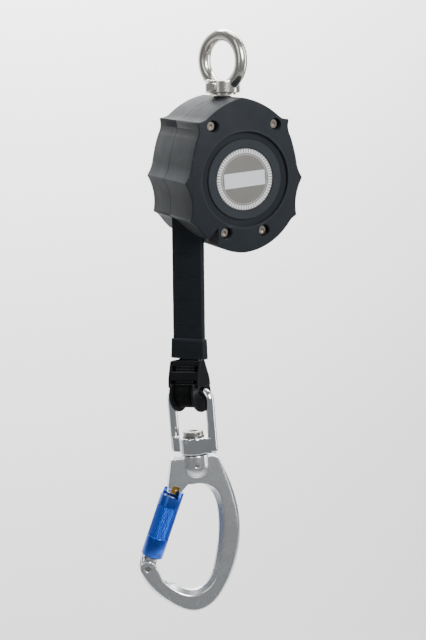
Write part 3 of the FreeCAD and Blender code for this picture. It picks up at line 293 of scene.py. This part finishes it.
def basis(origin: Vector, across: Vector, up: Vector) -> Matrix:
    """Frame with its z along `up` and its x as near `across` as it can be.

    Args:
        origin: where it starts, in metres.
        across: rough direction of its x.
        up: direction of its z.

    Returns:
        The frame as a 4x4 matrix.
    """
    z = up.normalized()
    y = z.cross(across).normalized()
    matrix = Matrix((y.cross(z), y, z)).transposed().to_4x4()
    matrix.translation = origin
    return matrix


def axis_of(name: str) -> Vector:
    """Direction of a joint."""
    return Vector(JOINTS[name]["axis"])


def point_of(name: str) -> Vector:
    """Place of a hinge, in metres."""
    return Vector(JOINTS[name]["pos_m"])


BAR_BELOW = 154.0  # from the mouth of the housing down to the bail's bar
DRUM = Matrix.Translation(point_of("drum_spin"))
GRIP = basis(point_of("bail_swing"), axis_of("bail_swing"), axis_of("swivel_spin"))
LINE = basis(GRIP.translation - axis_of("line_payout") * BAR_BELOW * MM,
             axis_of("bail_swing"), -axis_of("line_payout"))
GATE = basis(point_of("gate_open"), axis_of("gate_open").cross(axis_of("sleeve_twist")),
             axis_of("sleeve_twist"))


# ---------------------------------------------------------------- mesh helpers
def soften(mesh: bpy.types.Mesh, limit: float = 35.0) -> None:
    """Shade smooth, with a hard edge wherever faces meet at a wide angle.

    Args:
        mesh: the mesh to shade.
        limit: the widest angle, in degrees, that still reads as smooth.
    """
    work = bmesh.new()
    work.from_mesh(mesh)
    for face in work.faces:
        face.smooth = True
    for edge in work.edges:
        edge.smooth = len(edge.link_faces) == 2 and edge.calc_face_angle() < math.radians(limit)
    work.to_mesh(mesh)
    work.free()


def settle(name: str, mesh: bpy.types.Mesh, place: Matrix, body: str, finish: Finish,
           nodes: Sequence[str] = ()) -> bpy.types.Object:
    """Put a finished mesh in the scene as a piece that rides on a body.

    Args:
        name: the piece's name.
        mesh: its mesh, in the coordinates of `place`.
        place: the frame it was modelled in.
        body: the body that it moves with.
        finish: its finish.
        nodes: the CAD nodes that it stands for.

    Returns:
        The piece.
    """
    piece = bpy.data.objects.new(name, mesh)
    bpy.context.scene.collection.objects.link(piece)
    piece.matrix_world = place
    mesh.materials.clear()
    mesh.materials.append(finish.build())
    bpy.context.view_layer.update()
    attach(piece, body)
    if nodes:
        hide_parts(*nodes)
    LOG.info("%s rides on %s", name, body)
    return piece


def skin(name: str, rings: Sequence[Sequence[Vector]], closed: bool = False) -> bpy.types.Mesh:
    """Closed mesh through rings of points, all with the same count.

    Args:
        name: the mesh's name.
        rings: the rings, in order, in millimetres.
        closed: whether the last ring joins the first; otherwise both ends are capped.

    Returns:
        The mesh, in metres, with its faces pointing out.
    """
    work = bmesh.new()
    rows = [[work.verts.new(point * MM) for point in ring] for ring in rings]
    pairs = list(zip(rows, rows[1:])) + ([(rows[-1], rows[0])] if closed else [])
    count = len(rows[0])
    for low, high in pairs:
        for i in range(count):
            j = (i + 1) % count
            work.faces.new((low[i], low[j], high[j], high[i]))
    if not closed:
        work.faces.new(rows[0])
        work.faces.new(rows[-1])
    bmesh.ops.recalc_face_normals(work, faces=work.faces)
    mesh = bpy.data.meshes.new(name)
    work.to_mesh(mesh)
    work.free()
    return mesh


def applied(mesh: bpy.types.Mesh, dress: Callable[[bpy.types.Object], None]) -> bpy.types.Mesh:
    """Mesh after the modifiers that `dress` puts on it.

    Args:
        mesh: the mesh to change.
        dress: adds the modifiers to the object it is given.

    Returns:
        A new mesh with the modifiers applied.
    """
    holder = bpy.data.objects.new("holder", mesh)
    bpy.context.scene.collection.objects.link(holder)
    dress(holder)
    graph = bpy.context.evaluated_depsgraph_get()
    result = bpy.data.meshes.new_from_object(holder.evaluated_get(graph))
    bpy.data.objects.remove(holder)
    return result


def carved(mesh: bpy.types.Mesh, tools: Sequence[bpy.types.Mesh]) -> bpy.types.Mesh:
    """Mesh with every tool cut out of it.

    Args:
        mesh: the mesh to cut.
        tools: closed meshes in the same coordinates.

    Returns:
        A new mesh.
    """
    cutters = [bpy.data.objects.new("cutter", tool) for tool in tools]
    for cutter in cutters:
        bpy.context.scene.collection.objects.link(cutter)

    def dress(holder: bpy.types.Object) -> None:
        """Add one exact difference for each cutter."""
        for cutter in cutters:
            cutting = holder.modifiers.new("cut", "BOOLEAN")
            cutting.operation, cutting.solver, cutting.object = "DIFFERENCE", "EXACT", cutter
    result = applied(mesh, dress)
    for cutter in cutters:
        bpy.data.objects.remove(cutter)
    return result


def forged(node: str, voxel: float, passes: int) -> bpy.types.Mesh:
    """Copy of a CAD node with its corners run together, as a forging or moulding has them.

    Args:
        node: the CAD node.
        voxel: grain of the remesh, in millimetres.
        passes: how often the surface is smoothed.

    Returns:
        The new mesh, in the row's frame.
    """
    def dress(holder: bpy.types.Object) -> None:
        """Remesh and then smooth."""
        remesh = holder.modifiers.new("remesh", "REMESH")
        remesh.mode, remesh.voxel_size = "VOXEL", voxel * MM
        relax = holder.modifiers.new("relax", "SMOOTH")
        relax.factor, relax.iterations = 0.5, passes
    mesh = applied(frame["nodes"][node].data.copy(), dress)
    soften(mesh, 60.0)
    return mesh


def circle(radius: float, depth: float, count: int, x: float = 0.0, z: float = 0.0
           ) -> list[Vector]:
    """Ring of points round the drum's axis or a line beside it, at one depth."""
    turns = (2 * math.pi * i / count for i in range(count))
    return [Vector((x + radius * math.cos(t), depth, z + radius * math.sin(t))) for t in turns]


def slab(x: float, y: float, low: float, high: float, corner: float = 0.5, steps: int = 5
         ) -> list[list[Vector]]:
    """Two equal rounded rectangles, one above the other.

    Args:
        x: half the width.
        y: half the depth.
        low: height of the first.
        high: height of the second.
        corner: radius of the corners.
        steps: points on each corner.

    Returns:
        Both rings of points, in millimetres.
    """
    ring = []
    for quarter in range(4):
        sign_x = 1 if quarter in (0, 3) else -1
        sign_y = 1 if quarter < 2 else -1
        for step in range(steps):
            turn = math.pi / 2 * (quarter + step / (steps - 1))
            ring.append((sign_x * (x - corner) + corner * math.cos(turn),
                         sign_y * (y - corner) + corner * math.sin(turn)))
    return [[Vector((a, b, height)) for a, b in ring] for height in (low, high)]


# ---------------------------------------------------------------- housing
@dataclass
class Housing:
    """The two covers, the plate and what shows of the screws."""

    parting: float = 4.0
    gap: float = 0.15
    dome: float = 360.0
    front_apex: float = 47.2
    rear_apex: float = 47.0
    rear_flat: float = 44.5
    cavity: float = 42.5
    front_wall: float = 36.0
    rear_wall: float = 38.6
    rim_round: float = 1.2
    ridge_soft: int = 1
    around: int = 720
    pocket: float = 40.0
    disc: float = 34.0
    face: float = 43.0
    pocket_deep: float = 1.7
    plate: float = 26.2
    plate_seat: float = 1.2
    bore: float = 5.0
    shank: float = 2.2
    head_depth: float = 9.0
    bore_flare: float = 0.8
    lip: float = 0.35
    mouth_wide: float = 32.3
    mouth_thick: float = 7.3
    mouth_span: tuple[float, float] = (-45.0, 6.0)
    yoke_wide: float = 29.6
    yoke_span: tuple[float, float] = (20.0, 58.3)
    neck: float = 8.3
    neck_span: tuple[float, float] = (40.0, 80.0)
    plate_thick: float = 0.8
    plate_step: float = 0.12
    printed_rings: tuple[tuple[float, float], ...] = ((22.4, 22.1), (20.9, 20.7))
    ticks: int = 64
    tick_size: tuple[float, float, float] = (3.0, 0.1, 1.5)
    tick_radius: float = 24.0
    band_wide: float = 38.0
    band_high: float = 12.5
    band_tilt: float = -4.0

    def outline(self) -> list[float]:
        """Radius of the housing in every direction, read off the CAD cover's wall.

        Returns:
            One radius for each of `around` directions, in millimetres.
        """
        tree = BVHTree.FromPolygons(
            [v.co for v in frame["nodes"]["front_cover"].data.vertices],
            [p.vertices for p in frame["nodes"]["front_cover"].data.polygons])
        centre, far = DRUM.translation, 0.2
        radii = []
        for i in range(self.around):
            turn = 2 * math.pi * (i + 0.37) / self.around
            way = Vector((math.cos(turn), 0, math.sin(turn)))
            start = centre + way * far + Vector((0, -18 * MM, 0))
            hit = tree.ray_cast(start, -way)[0]
            radii.append((hit - centre - Vector((0, -18 * MM, 0))).length / MM)
        middle = sorted(radii)[self.around // 2]
        radii = [r if r > middle * 0.8 else 0.0 for r in radii]
        for i, r in enumerate(radii):
            if not r:
                radii[i] = radii[i - 1]
        soft = self.ridge_soft
        return [sum(radii[(i + k) % self.around] for k in range(-soft, soft + 1)) / (2 * soft + 1)
                for i in range(self.around)]

    def ring(self, radii: Sequence[float], depth: Callable[[float], float]) -> list[Vector]:
        """Ring of points round the drum's axis.

        Args:
            radii: one radius for each direction.
            depth: gives the depth that belongs to a radius.

        Returns:
            The points, in millimetres.
        """
        points = []
        for i, radius in enumerate(radii):
            turn = 2 * math.pi * (i + 0.37) / self.around
            points.append(Vector((radius * math.cos(turn), depth(radius),
                                  radius * math.sin(turn))))
        return points

    def shell(self, side: int) -> bpy.types.Mesh:
        """Closed mesh of one cover.

        Args:
            side: -1 for the front cover and 1 for the rear one.

        Returns:
            The cover before its holes are cut.
        """
        wall = self.outline()
        apex = self.front_apex if side < 0 else self.rear_apex
        inner = self.front_wall if side < 0 else self.rear_wall
        start = self.parting if side < 0 else self.parting + self.gap

        def dome(radius: float) -> float:
            """Depth of the dome at a radius."""
            high = apex - self.dome + math.sqrt(self.dome ** 2 - radius ** 2)
            return side * (high if side < 0 else min(high, self.rear_flat))

        rings = [self.ring([self.cavity] * self.around, lambda r: start),
                 self.ring([r - self.lip for r in wall], lambda r: start),
                 self.ring(wall, lambda r: start + side * self.lip)]
        for step in range(7):
            turn = math.pi / 2 * step / 6
            back, drop = self.rim_round * (1 - math.cos(turn)), 1 - math.sin(turn)
            rings.append(self.ring([r - back for r in wall],
                                   lambda r, d=drop: dome(r) - side * self.rim_round * d))
        edge = self.pocket + 0.6
        for step in range(1, 11):
            part = step / 10
            rings.append(self.ring([(r - self.rim_round) * (1 - part) + edge * part for r in wall],
                                   dome))
        if side < 0:
            floor = -self.face + self.pocket_deep
            seat = -self.face + self.plate_seat
            stops = [(self.pocket, dome(self.pocket) + 0.6), (self.pocket, floor - 0.4),
                     (self.pocket - 0.4, floor), (self.disc + 0.4, floor),
                     (self.disc, floor - 0.4), (self.disc, -self.face + 0.5),
                     (self.disc - 0.5, -self.face), (self.plate + 0.6, -self.face),
                     (self.plate + 0.15, -self.face + 0.4), (self.plate + 0.1, seat)]
        else:
            stops = [(30.0, dome(30.0)), (20.0, dome(20.0)), (10.0, dome(10.0))]
        for radius, depth in stops:
            rings.append(self.ring([radius] * self.around, lambda r, y=depth: y))
        middle = rings[-1][0].y
        rings.append(self.ring([1.0] * self.around, lambda r: middle))
        rings.append(self.ring([1.0] * self.around, lambda r: side * inner))
        rings.append(self.ring([self.cavity] * self.around, lambda r: side * inner))
        return skin("cover", rings, closed=True)

    def screw_places(self) -> list[tuple[float, float]]:
        """Places of the four screws, from the loose parts of the CAD screws.

        Returns:
            x and z of each, from the drum's axis.
        """
        work = bmesh.new()
        work.from_mesh(frame["nodes"]["cover_screws"].data)
        bmesh.ops.remove_doubles(work, verts=work.verts, dist=1e-6)
        groups: dict[tuple[bool, bool], list[Vector]] = {}
        for vert in work.verts:
            local = vert.co - DRUM.translation
            groups.setdefault((local.x > 0, local.z > 0), []).append(local)
        work.free()
        middle = [sum(points, Vector()) / len(points) / MM for points in groups.values()]
        return [(point.x, point.z) for point in middle]

    def holes(self, side: int) -> list[bpy.types.Mesh]:
        """Cutters for the screws, the mouth, the yoke's room and the stud's neck.

        Args:
            side: -1 for the front cover and 1 for the rear one.

        Returns:
            The cutters, round the drum's axis.
        """
        tools = []
        if side < 0:
            for x, z in self.screw_places():
                rim = self.dome - math.sqrt(self.dome ** 2 - x * x - z * z) - self.front_apex
                seat = rim + self.head_depth
                flare = self.bore + self.bore_flare
                profile = [(flare, rim - 8), (flare, rim - 0.3),
                           (self.bore, rim + 0.6), (self.bore, seat), (self.shank, seat),
                           (self.shank, self.parting + 3)]
                tools.append(skin("bore", [circle(r, y, 40, x, z) for r, y in profile]))
        slot = skin("mouth", slab(self.mouth_wide / 2, self.mouth_thick / 2, *self.mouth_span))
        slot.transform(DRUM.inverted() @ LINE)
        yoke = skin("yoke", slab(self.yoke_wide / 2, self.front_wall - 0.5, *self.yoke_span))
        neck = skin("neck", slab(self.neck, self.neck, *self.neck_span, corner=8.2, steps=12))
        return tools + [slot, yoke, neck]

    def plate_rings(self) -> None:
        """Plate with a turned rim, and its printed rings and blank band as thin raised ink."""
        back = -self.face + self.plate_seat
        front = -self.face + self.plate_seat - self.plate_thick
        profile = [(0.2, back), (self.plate, back), (self.plate, front + 0.2),
                   (self.plate - 0.2, front), (self.plate - 0.45, front),
                   (self.plate - 0.6, front + self.plate_step), (0.2, front + self.plate_step)]
        mesh = skin("nameplate", [circle(r, y, 256) for r, y in profile], closed=True)
        soften(mesh)
        settle("plate_disc", mesh, DRUM, "housing", PLATE, ["nameplate"])
        level = front + self.plate_step
        for number, (outer, inner) in enumerate(self.printed_rings):
            section = [(outer, level + 0.02), (outer, level - 0.05), (inner, level - 0.05),
                       (inner, level + 0.02)]
            ring = skin("ring", [circle(r, y, 200) for r, y in section], closed=True)
            settle(f"plate_ring_{number}", ring, DRUM, "housing", INK)
        self.serrated_ring(level)

    def serrated_ring(self, level: float) -> None:
        """Ring of white teeth round the plate, and the plain tilted band inside it.

        Args:
            level: depth of the plate's face.
        """
        work = bmesh.new()
        for number in range(self.ticks):
            turn = Matrix.Rotation(2 * math.pi * number / self.ticks, 4, "Y")
            bmesh.ops.create_cube(work, size=1.0, matrix=turn @ Matrix.Translation(
                (self.tick_radius * MM, level * MM, 0)) @ Matrix.Diagonal(
                    (*(size * MM for size in self.tick_size), 1)))
        mesh = bpy.data.meshes.new("ticks")
        work.to_mesh(mesh)
        work.free()
        settle("plate_ticks", mesh, DRUM, "housing", INK)
        row = slab(self.band_wide / 2, self.band_high / 2, 0, 0, 0.8)[0]
        turn = Matrix.Rotation(math.radians(self.band_tilt), 3, "Y")
        rings = [[turn @ Vector((p.x, 0, p.y)) + Vector((0, y, 0)) for p in row]
                 for y in (level + 0.02, level - 0.06)]
        band = skin("band", rings)
        soften(band)
        settle("plate_band", band, DRUM, "housing", BAND)

    def build(self) -> None:
        """Build both covers and the plate."""
        for side, node in ((-1, "front_cover"), (1, "rear_cover")):
            mesh = carved(self.shell(side), self.holes(side))
            soften(mesh)
            settle(node + "_shell", mesh, DRUM, "housing", HOUSING, [node])
        self.plate_rings()


# ---------------------------------------------------------------- line
@dataclass
class LinePack:
    """The webbing strand, the rubber pack with its slots, the keeper, the loop and its guard."""

    wide: float = 30.5
    thick: float = 5.5
    length: float = 107.3
    slot_first: float = 33.3
    slot_step: float = 20.6
    slot_wide: float = 17.5
    slot_high: float = 2.6
    slots: int = 4
    keeper_wide: float = 34.0
    keeper_thick: float = 8.0
    keeper_high: float = 17.5
    web_wide: float = 20.0
    web_thick: float = 2.0
    strand_turn: float = -35.5
    strand_rows: int = 12
    guide_top: float = 6.0
    loop_inner: float = 8.5
    loop_thick: float = 3.1
    loop_sink: float = 2.4
    loop_top: float = 28.4
    neck_half: float = 1.7
    stitch_rows: int = 9
    stitch_first: float = 4.0
    stitch_step: float = 2.2
    stitch_size: tuple[float, float, float] = (0.8, 0.22, 0.28)

    def sleeve(self) -> None:
        """Rubber sleeve with a stadium-shaped bead round each shallow slot, on both faces."""
        rings = []
        for low, high in ((-self.length, -self.length + 1), (-1.2, 0.0)):
            rings += slab(self.wide / 2, self.thick / 2, low, high, 1.6)
        body = skin("sleeve", rings)
        soften(body)
        settle("pack_sleeve_body", body, LINE, "line", RUBBER, ["pack_sleeve"])
        work = bmesh.new()
        for number in range(self.slots):
            for face in (-1, 1):
                self.bead(work, face * self.thick / 2, -self.slot_first - number * self.slot_step)
        mesh = bpy.data.meshes.new("beads")
        work.to_mesh(mesh)
        work.free()
        soften(mesh, 60)
        settle("pack_sleeve_beads", mesh, LINE, "line", RUBBER)

    def bead(self, work: bmesh.types.BMesh, y: float, z: float) -> None:
        """Round bead along a stadium outline.

        Args:
            work: the mesh it is added to.
            y: depth of the face that it lies on.
            z: height of its middle.
        """
        end, rise, bead, around = self.slot_high / 2, self.slot_wide / 2, 0.32, 8
        path = []
        for side in (1, -1):
            for step in range(13):
                turn = math.pi / 2 - math.pi * step / 12 + (0 if side > 0 else math.pi)
                path.append((side * (rise - end) + end * math.cos(turn), z + end * math.sin(turn)))
        rows = []
        for i, (x, height) in enumerate(path):
            before, after = path[i - 1], path[(i + 1) % len(path)]
            along = Vector((after[0] - before[0], 0, after[1] - before[1])).normalized()
            out = along.cross(Vector((0, 1, 0)))
            rows.append([work.verts.new((Vector((x, y, height)) + out * bead * math.cos(t)
                                         + Vector((0, 1, 0)) * bead * math.sin(t)) * MM)
                         for t in (2 * math.pi * k / around for k in range(around))])
        for a, b in zip(rows, rows[1:] + rows[:1]):
            for k in range(around):
                work.faces.new((a[k], a[(k + 1) % around], b[(k + 1) % around], b[k]))

    def keeper(self) -> None:
        """Rubber band with rounded rims, a little wider at its lower edge."""
        top, low = -self.length, -self.length - self.keeper_high
        rings = []
        for height, wide, thick in ((low, -0.4, -0.4), (low + 0.5, 0, 0), (low + 3.0, -0.1, 0),
                                    (top - 3.0, -0.5, -0.25), (top - 0.5, -0.6, -0.3),
                                    (top, -1.0, -0.7)):
            rings.append(slab(self.keeper_wide / 2 + wide, self.keeper_thick / 2 + thick,
                              height, height, 1.4)[0])
        mesh = skin("keeper", rings)
        soften(mesh, 50)
        settle("keeper_band_body", mesh, LINE, "line", RUBBER, ["keeper_band"])

    def strand(self) -> None:
        """Webbing from the coil to the pack, turning as it drops."""
        low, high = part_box("webbing_strand")
        start = LINE.inverted() @ Vector(((low.x + high.x) / 2, LINE.translation.y, high.z))
        rows = []
        for step in range(self.strand_rows + 1):
            part = step / self.strand_rows
            turn = math.radians(self.strand_turn) * part ** 2
            middle = start * (part / MM)
            ring = slab(self.web_wide / 2, self.web_thick / 2, 0, 0, 0.9)[0]
            spin = Matrix.Rotation(turn, 3, "Z")
            rows.append([spin @ p + middle for p in ring])
        mesh = skin("strand", rows)
        soften(mesh, 50)
        LOG.info("webbing_strand_weave: %d faces", len(mesh.polygons))
        piece = bpy.data.objects.new("webbing_strand_weave", mesh)
        bpy.context.scene.collection.objects.link(piece)
        piece.matrix_world = LINE
        mesh.materials.append(WEBBING.build())
        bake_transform(piece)
        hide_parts("webbing_strand")

    def loop(self) -> None:
        """Webbing round the thimble and up into the keeper, with its rows of stitches."""
        inner, thick, half = self.loop_inner, self.loop_thick, self.web_wide / 2
        sink, top, neck = self.loop_sink, self.loop_top, self.neck_half
        radius = inner + thick / 2
        path = [(radius * math.cos(t), -sink + radius * math.sin(t))
                for t in (math.radians(a) for a in range(-90, 41, 6))]
        last = path[-1]
        path += [(last[0] + (neck - last[0]) * k / 6, last[1] + (top - last[1]) * k / 6)
                 for k in range(1, 7)]
        full = [(-y, z) for y, z in reversed(path)] + path[1:]
        rows = []
        for i, (y, z) in enumerate(full):
            before, after = full[max(i - 1, 0)], full[min(i + 1, len(full) - 1)]
            along = Vector((0, after[0] - before[0], after[1] - before[1])).normalized()
            out = along.cross(Vector((1, 0, 0)))
            ring = slab(half, thick / 2, 0, 0, 1.2)[0]
            rows.append([Vector((p.x, y, z)) + out * p.y for p in ring])
        mesh = skin("loop", rows)
        soften(mesh, 50)
        settle("webbing_loop_weave", mesh, GRIP, "line", WEBBING, ["webbing_loop"])
        slope = Vector((0, neck - last[0], top - last[1])).normalized()
        self.stitches(Vector((0, last[0], last[1])), slope, thick / 2, half)

    def stitches(self, start: Vector, slope: Vector, offset: float, half: float) -> None:
        """Rows of thread across both faces of the loop's neck.

        Args:
            start: where the straight neck begins, on the webbing's middle.
            slope: direction of the neck.
            offset: half the webbing's thickness.
            half: half the webbing's width.
        """
        work = bmesh.new()
        lift = Vector((0, slope.z, -slope.y)) * offset
        for side in (-1, 1):
            for row in range(self.stitch_rows):
                on_neck = start + slope * (self.stitch_first + self.stitch_step * row) + lift
                for step in range(int(half) - 1):
                    x = -half + 2.0 + 2.0 * step
                    place = Vector((x, side * on_neck.y, on_neck.z)) * MM
                    bmesh.ops.create_uvsphere(
                        work, u_segments=8, v_segments=6, radius=1.0,
                        matrix=Matrix.Translation(place)
                        @ Matrix.Diagonal((*(size * MM for size in self.stitch_size), 1)))
        mesh = bpy.data.meshes.new("stitches")
        work.to_mesh(mesh)
        work.free()
        soften(mesh, 80)
        settle("webbing_loop_stitches", mesh, GRIP, "line", THREAD)

    def build(self) -> None:
        """Build every piece of the line."""
        self.sleeve()
        self.keeper()
        self.strand()
        self.loop()
        for node, voxel, passes in (("loop_guard", 0.35, 3), ("thimble", 0.4, 3)):
            settle(node + "_moulding", forged(node, voxel, passes), Matrix(), "line", GUARD,
                   [node])


# ---------------------------------------------------------------- metalwork
@dataclass
class Metalwork:
    """Forgings: the eye, the bail and the carabiner's body."""

    eye_voxel: float = 0.45
    bail_voxel: float = 0.45
    body_voxel: float = 0.5

    def build(self) -> None:
        """Run the corners of each forging together."""
        for node, voxel, passes, body, finish in (
                ("anchor_eye_nut", self.eye_voxel, 8, "anchor", STAINLESS),
                ("swivel_bail", self.bail_voxel, 6, "bail", CHROME),
                ("carabiner_body", self.body_voxel, 14, "connector", ALUMINIUM)):
            settle(node + "_forging", forged(node, voxel, passes), Matrix(), body, finish, [node])


@dataclass
class Sleeve:
    """Blue twist sleeve with a knurled middle and a notch in its rim."""

    radius: float = 9.8
    bore: float = 6.25
    low: float = 11.0
    high: float = 72.5
    knurl_low: float = 28.5
    knurl_high: float = 57.5
    teeth: int = 30
    relief: float = 0.4
    recess: float = 0.12
    around: int = 360
    rim: float = 0.6
    run_out: float = 0.4
    row_step: float = 0.25
    notch_room: float = 20.0
    notch_side: float = 6.1
    notch_over: float = 4.5
    notch_deep: float = 5.6

    def outside(self, height: float, turn: float) -> float:
        """Radius of the outside, lower in the knurl's grooves.

        Args:
            height: place along the gate.
            turn: angle round the gate, in radians.

        Returns:
            The radius, in millimetres.
        """
        if not self.knurl_low < height < self.knurl_high:
            return self.radius
        slope = self.teeth / self.radius
        rise = height - self.knurl_low
        first = abs(math.sin((self.teeth * turn + slope * rise) / 2))
        second = abs(math.sin((self.teeth * turn - slope * rise) / 2))
        return self.radius - self.recess - self.relief * (1 - min(first, second))

    def build(self) -> None:
        """Build the sleeve."""
        heights = [self.low + self.rim, self.knurl_low - self.run_out]
        rows = int((self.knurl_high - self.knurl_low) / self.row_step)
        heights += [self.knurl_low + (self.knurl_high - self.knurl_low) * k / rows
                    for k in range(rows + 1)]
        heights += [self.knurl_high + self.run_out, self.high - self.rim]
        rings = [self.round(self.bore, self.low), self.round(self.radius - self.rim, self.low)]
        for height in heights:
            rings.append([self.at(self.outside(height, 2 * math.pi * i / self.around), height, i)
                          for i in range(self.around)])
        rings += [self.round(self.radius - self.rim, self.high), self.round(self.bore, self.high)]
        tube = skin("locking_sleeve", rings, closed=True)
        room, over, side = self.notch_room, self.notch_over, self.notch_side
        notch = skin("notch", slab((room + over) / 2, (room + side) / 2,
                                   self.high - self.notch_deep, self.high + 2))
        notch.transform(Matrix.Translation(
            Vector(((over - room) / 2, (side - room) / 2, 0)) * MM))
        mesh = carved(tube, [notch])
        soften(mesh, 70)
        settle("locking_sleeve_knurled", mesh, GATE, "sleeve", ANODISED, ["locking_sleeve"])

    def at(self, radius: float, height: float, step: int) -> Vector:
        """Point of a ring round the gate's axis."""
        turn = 2 * math.pi * step / self.around
        return Vector((radius * math.cos(turn), radius * math.sin(turn), height))

    def round(self, radius: float, height: float) -> list[Vector]:
        """Plain ring round the gate's axis."""
        return [self.at(radius, height, i) for i in range(self.around)]


# ---------------------------------------------------------------- studio
@dataclass
class Studio:
    """Pale floor, strip lights that draw bright lines on the metal, and the camera."""

    focal: float = 109.86
    sensor: float = 36.0
    eye: tuple[float, float, float] = (-0.480, -1.028, 0.018)
    forward: tuple[float, float, float] = (0.40533, 0.88941, -0.21132)
    roll: float = -0.62
    below: float = 1700.0

    def camera(self) -> None:
        """Set the camera."""
        data = bpy.data.cameras.new("camera")
        data.sensor_fit, data.sensor_width, data.lens = "HORIZONTAL", self.sensor, self.focal
        forward = Vector(self.forward).normalized()
        right = forward.cross(Vector((0, 0, 1))).normalized()
        up = right.cross(forward)
        tilt = math.radians(self.roll)
        right, up = (right * math.cos(tilt) + up * math.sin(tilt),
                     up * math.cos(tilt) - right * math.sin(tilt))
        camera = bpy.data.objects.new("camera", data)
        camera.matrix_world = Matrix((right, up, -forward)).transposed().to_4x4()
        camera.matrix_world.translation = Vector(self.eye)
        bpy.context.scene.collection.objects.link(camera)
        bpy.context.scene.camera = camera

    def light(self, name: str, place: Sequence[float], size: tuple[float, float], watts: float,
              towards: Sequence[float] = (-0.03, 0, -0.2)) -> None:
        """Oblong soft light.

        Args:
            name: what the light is for.
            place: where it stands.
            size: its width and height.
            watts: its power.
            towards: the point that it faces.
        """
        data = bpy.data.lights.new(name, "AREA")
        data.shape = "RECTANGLE"
        data.size, data.size_y, data.energy = size[0], size[1], watts
        lamp = bpy.data.objects.new(name, data)
        lamp.location = Vector(place)
        lamp.rotation_euler = (Vector(towards) - lamp.location).to_track_quat("-Z", "Y").to_euler()
        bpy.context.scene.collection.objects.link(lamp)

    def floor(self) -> None:
        """Plain pale floor, under the line at full length, that curves up behind the object."""
        low = CAD_BOUNDS[0][2] / MM - self.below
        path = [(-3000, low), (1200, low)]
        path += [(1200 + 600 * math.sin(t), low + 600 * (1 - math.cos(t)))
                 for t in (math.pi / 2 * k / 12 for k in range(1, 13))]
        path.append((1800, 4000))
        work = bmesh.new()
        rows = [[work.verts.new(Vector((x, y, z)) * MM) for x in (-4000, 4000)] for y, z in path]
        for a, b in zip(rows, rows[1:]):
            work.faces.new((a[0], a[1], b[1], b[0]))
        mesh = bpy.data.meshes.new("floor")
        work.to_mesh(mesh)
        work.free()
        soften(mesh)
        paper = Finish("studio_paper", "#f4f4f3", "#f1f1f0", 0.0, 0.9, Pattern.MOULDED, 2.0, 0.02)
        mesh.materials.append(paper.build())
        stage = bpy.data.objects.new("floor", mesh)
        bpy.context.scene.collection.objects.link(stage)

    def build(self) -> None:
        """Build the whole studio."""
        self.camera()
        self.floor()
        self.light("key", (-1.3, -0.8, 0.5), (0.3, 1.4), 6.0)
        self.light("front", (0.2, -1.7, 0.6), (0.6, 0.9), 52.0)
        self.light("edge", (1.2, -0.5, 0.1), (0.2, 1.5), 12.0)
        self.light("top", (0.0, 0.1, 1.3), (0.9, 0.5), 12.0)
        self.light("backdrop", (0.4, 0.8, 1.3), (2.5, 1.0), 210.0, (0.6, 1.8, -0.3))
        world = bpy.data.worlds.new("studio")
        bpy.context.scene.world = world
        world.use_nodes = True
        background = world.node_tree.nodes["Background"]
        background.inputs["Color"].default_value = linear("#eef0f2")
        background.inputs["Strength"].default_value = 0.34


def dress_nodes() -> None:
    """Give every CAD node the finish of its slot."""
    for name, node in frame["nodes"].items():
        finish = SLOT_FINISH[SLOT_OF[name]].build()
        if not node.material_slots:
            node.data.materials.append(finish)
        for place in node.material_slots:
            place.material = finish


def main() -> None:
    """Build the studio and every sub-assembly, in order."""
    logging.basicConfig(level=logging.INFO, format="%(message)s")
    Studio().build()
    dress_nodes()
    Housing().build()
    LinePack().build()
    Metalwork().build()
    Sleeve().build()


if __name__ == "__main__":
    main()
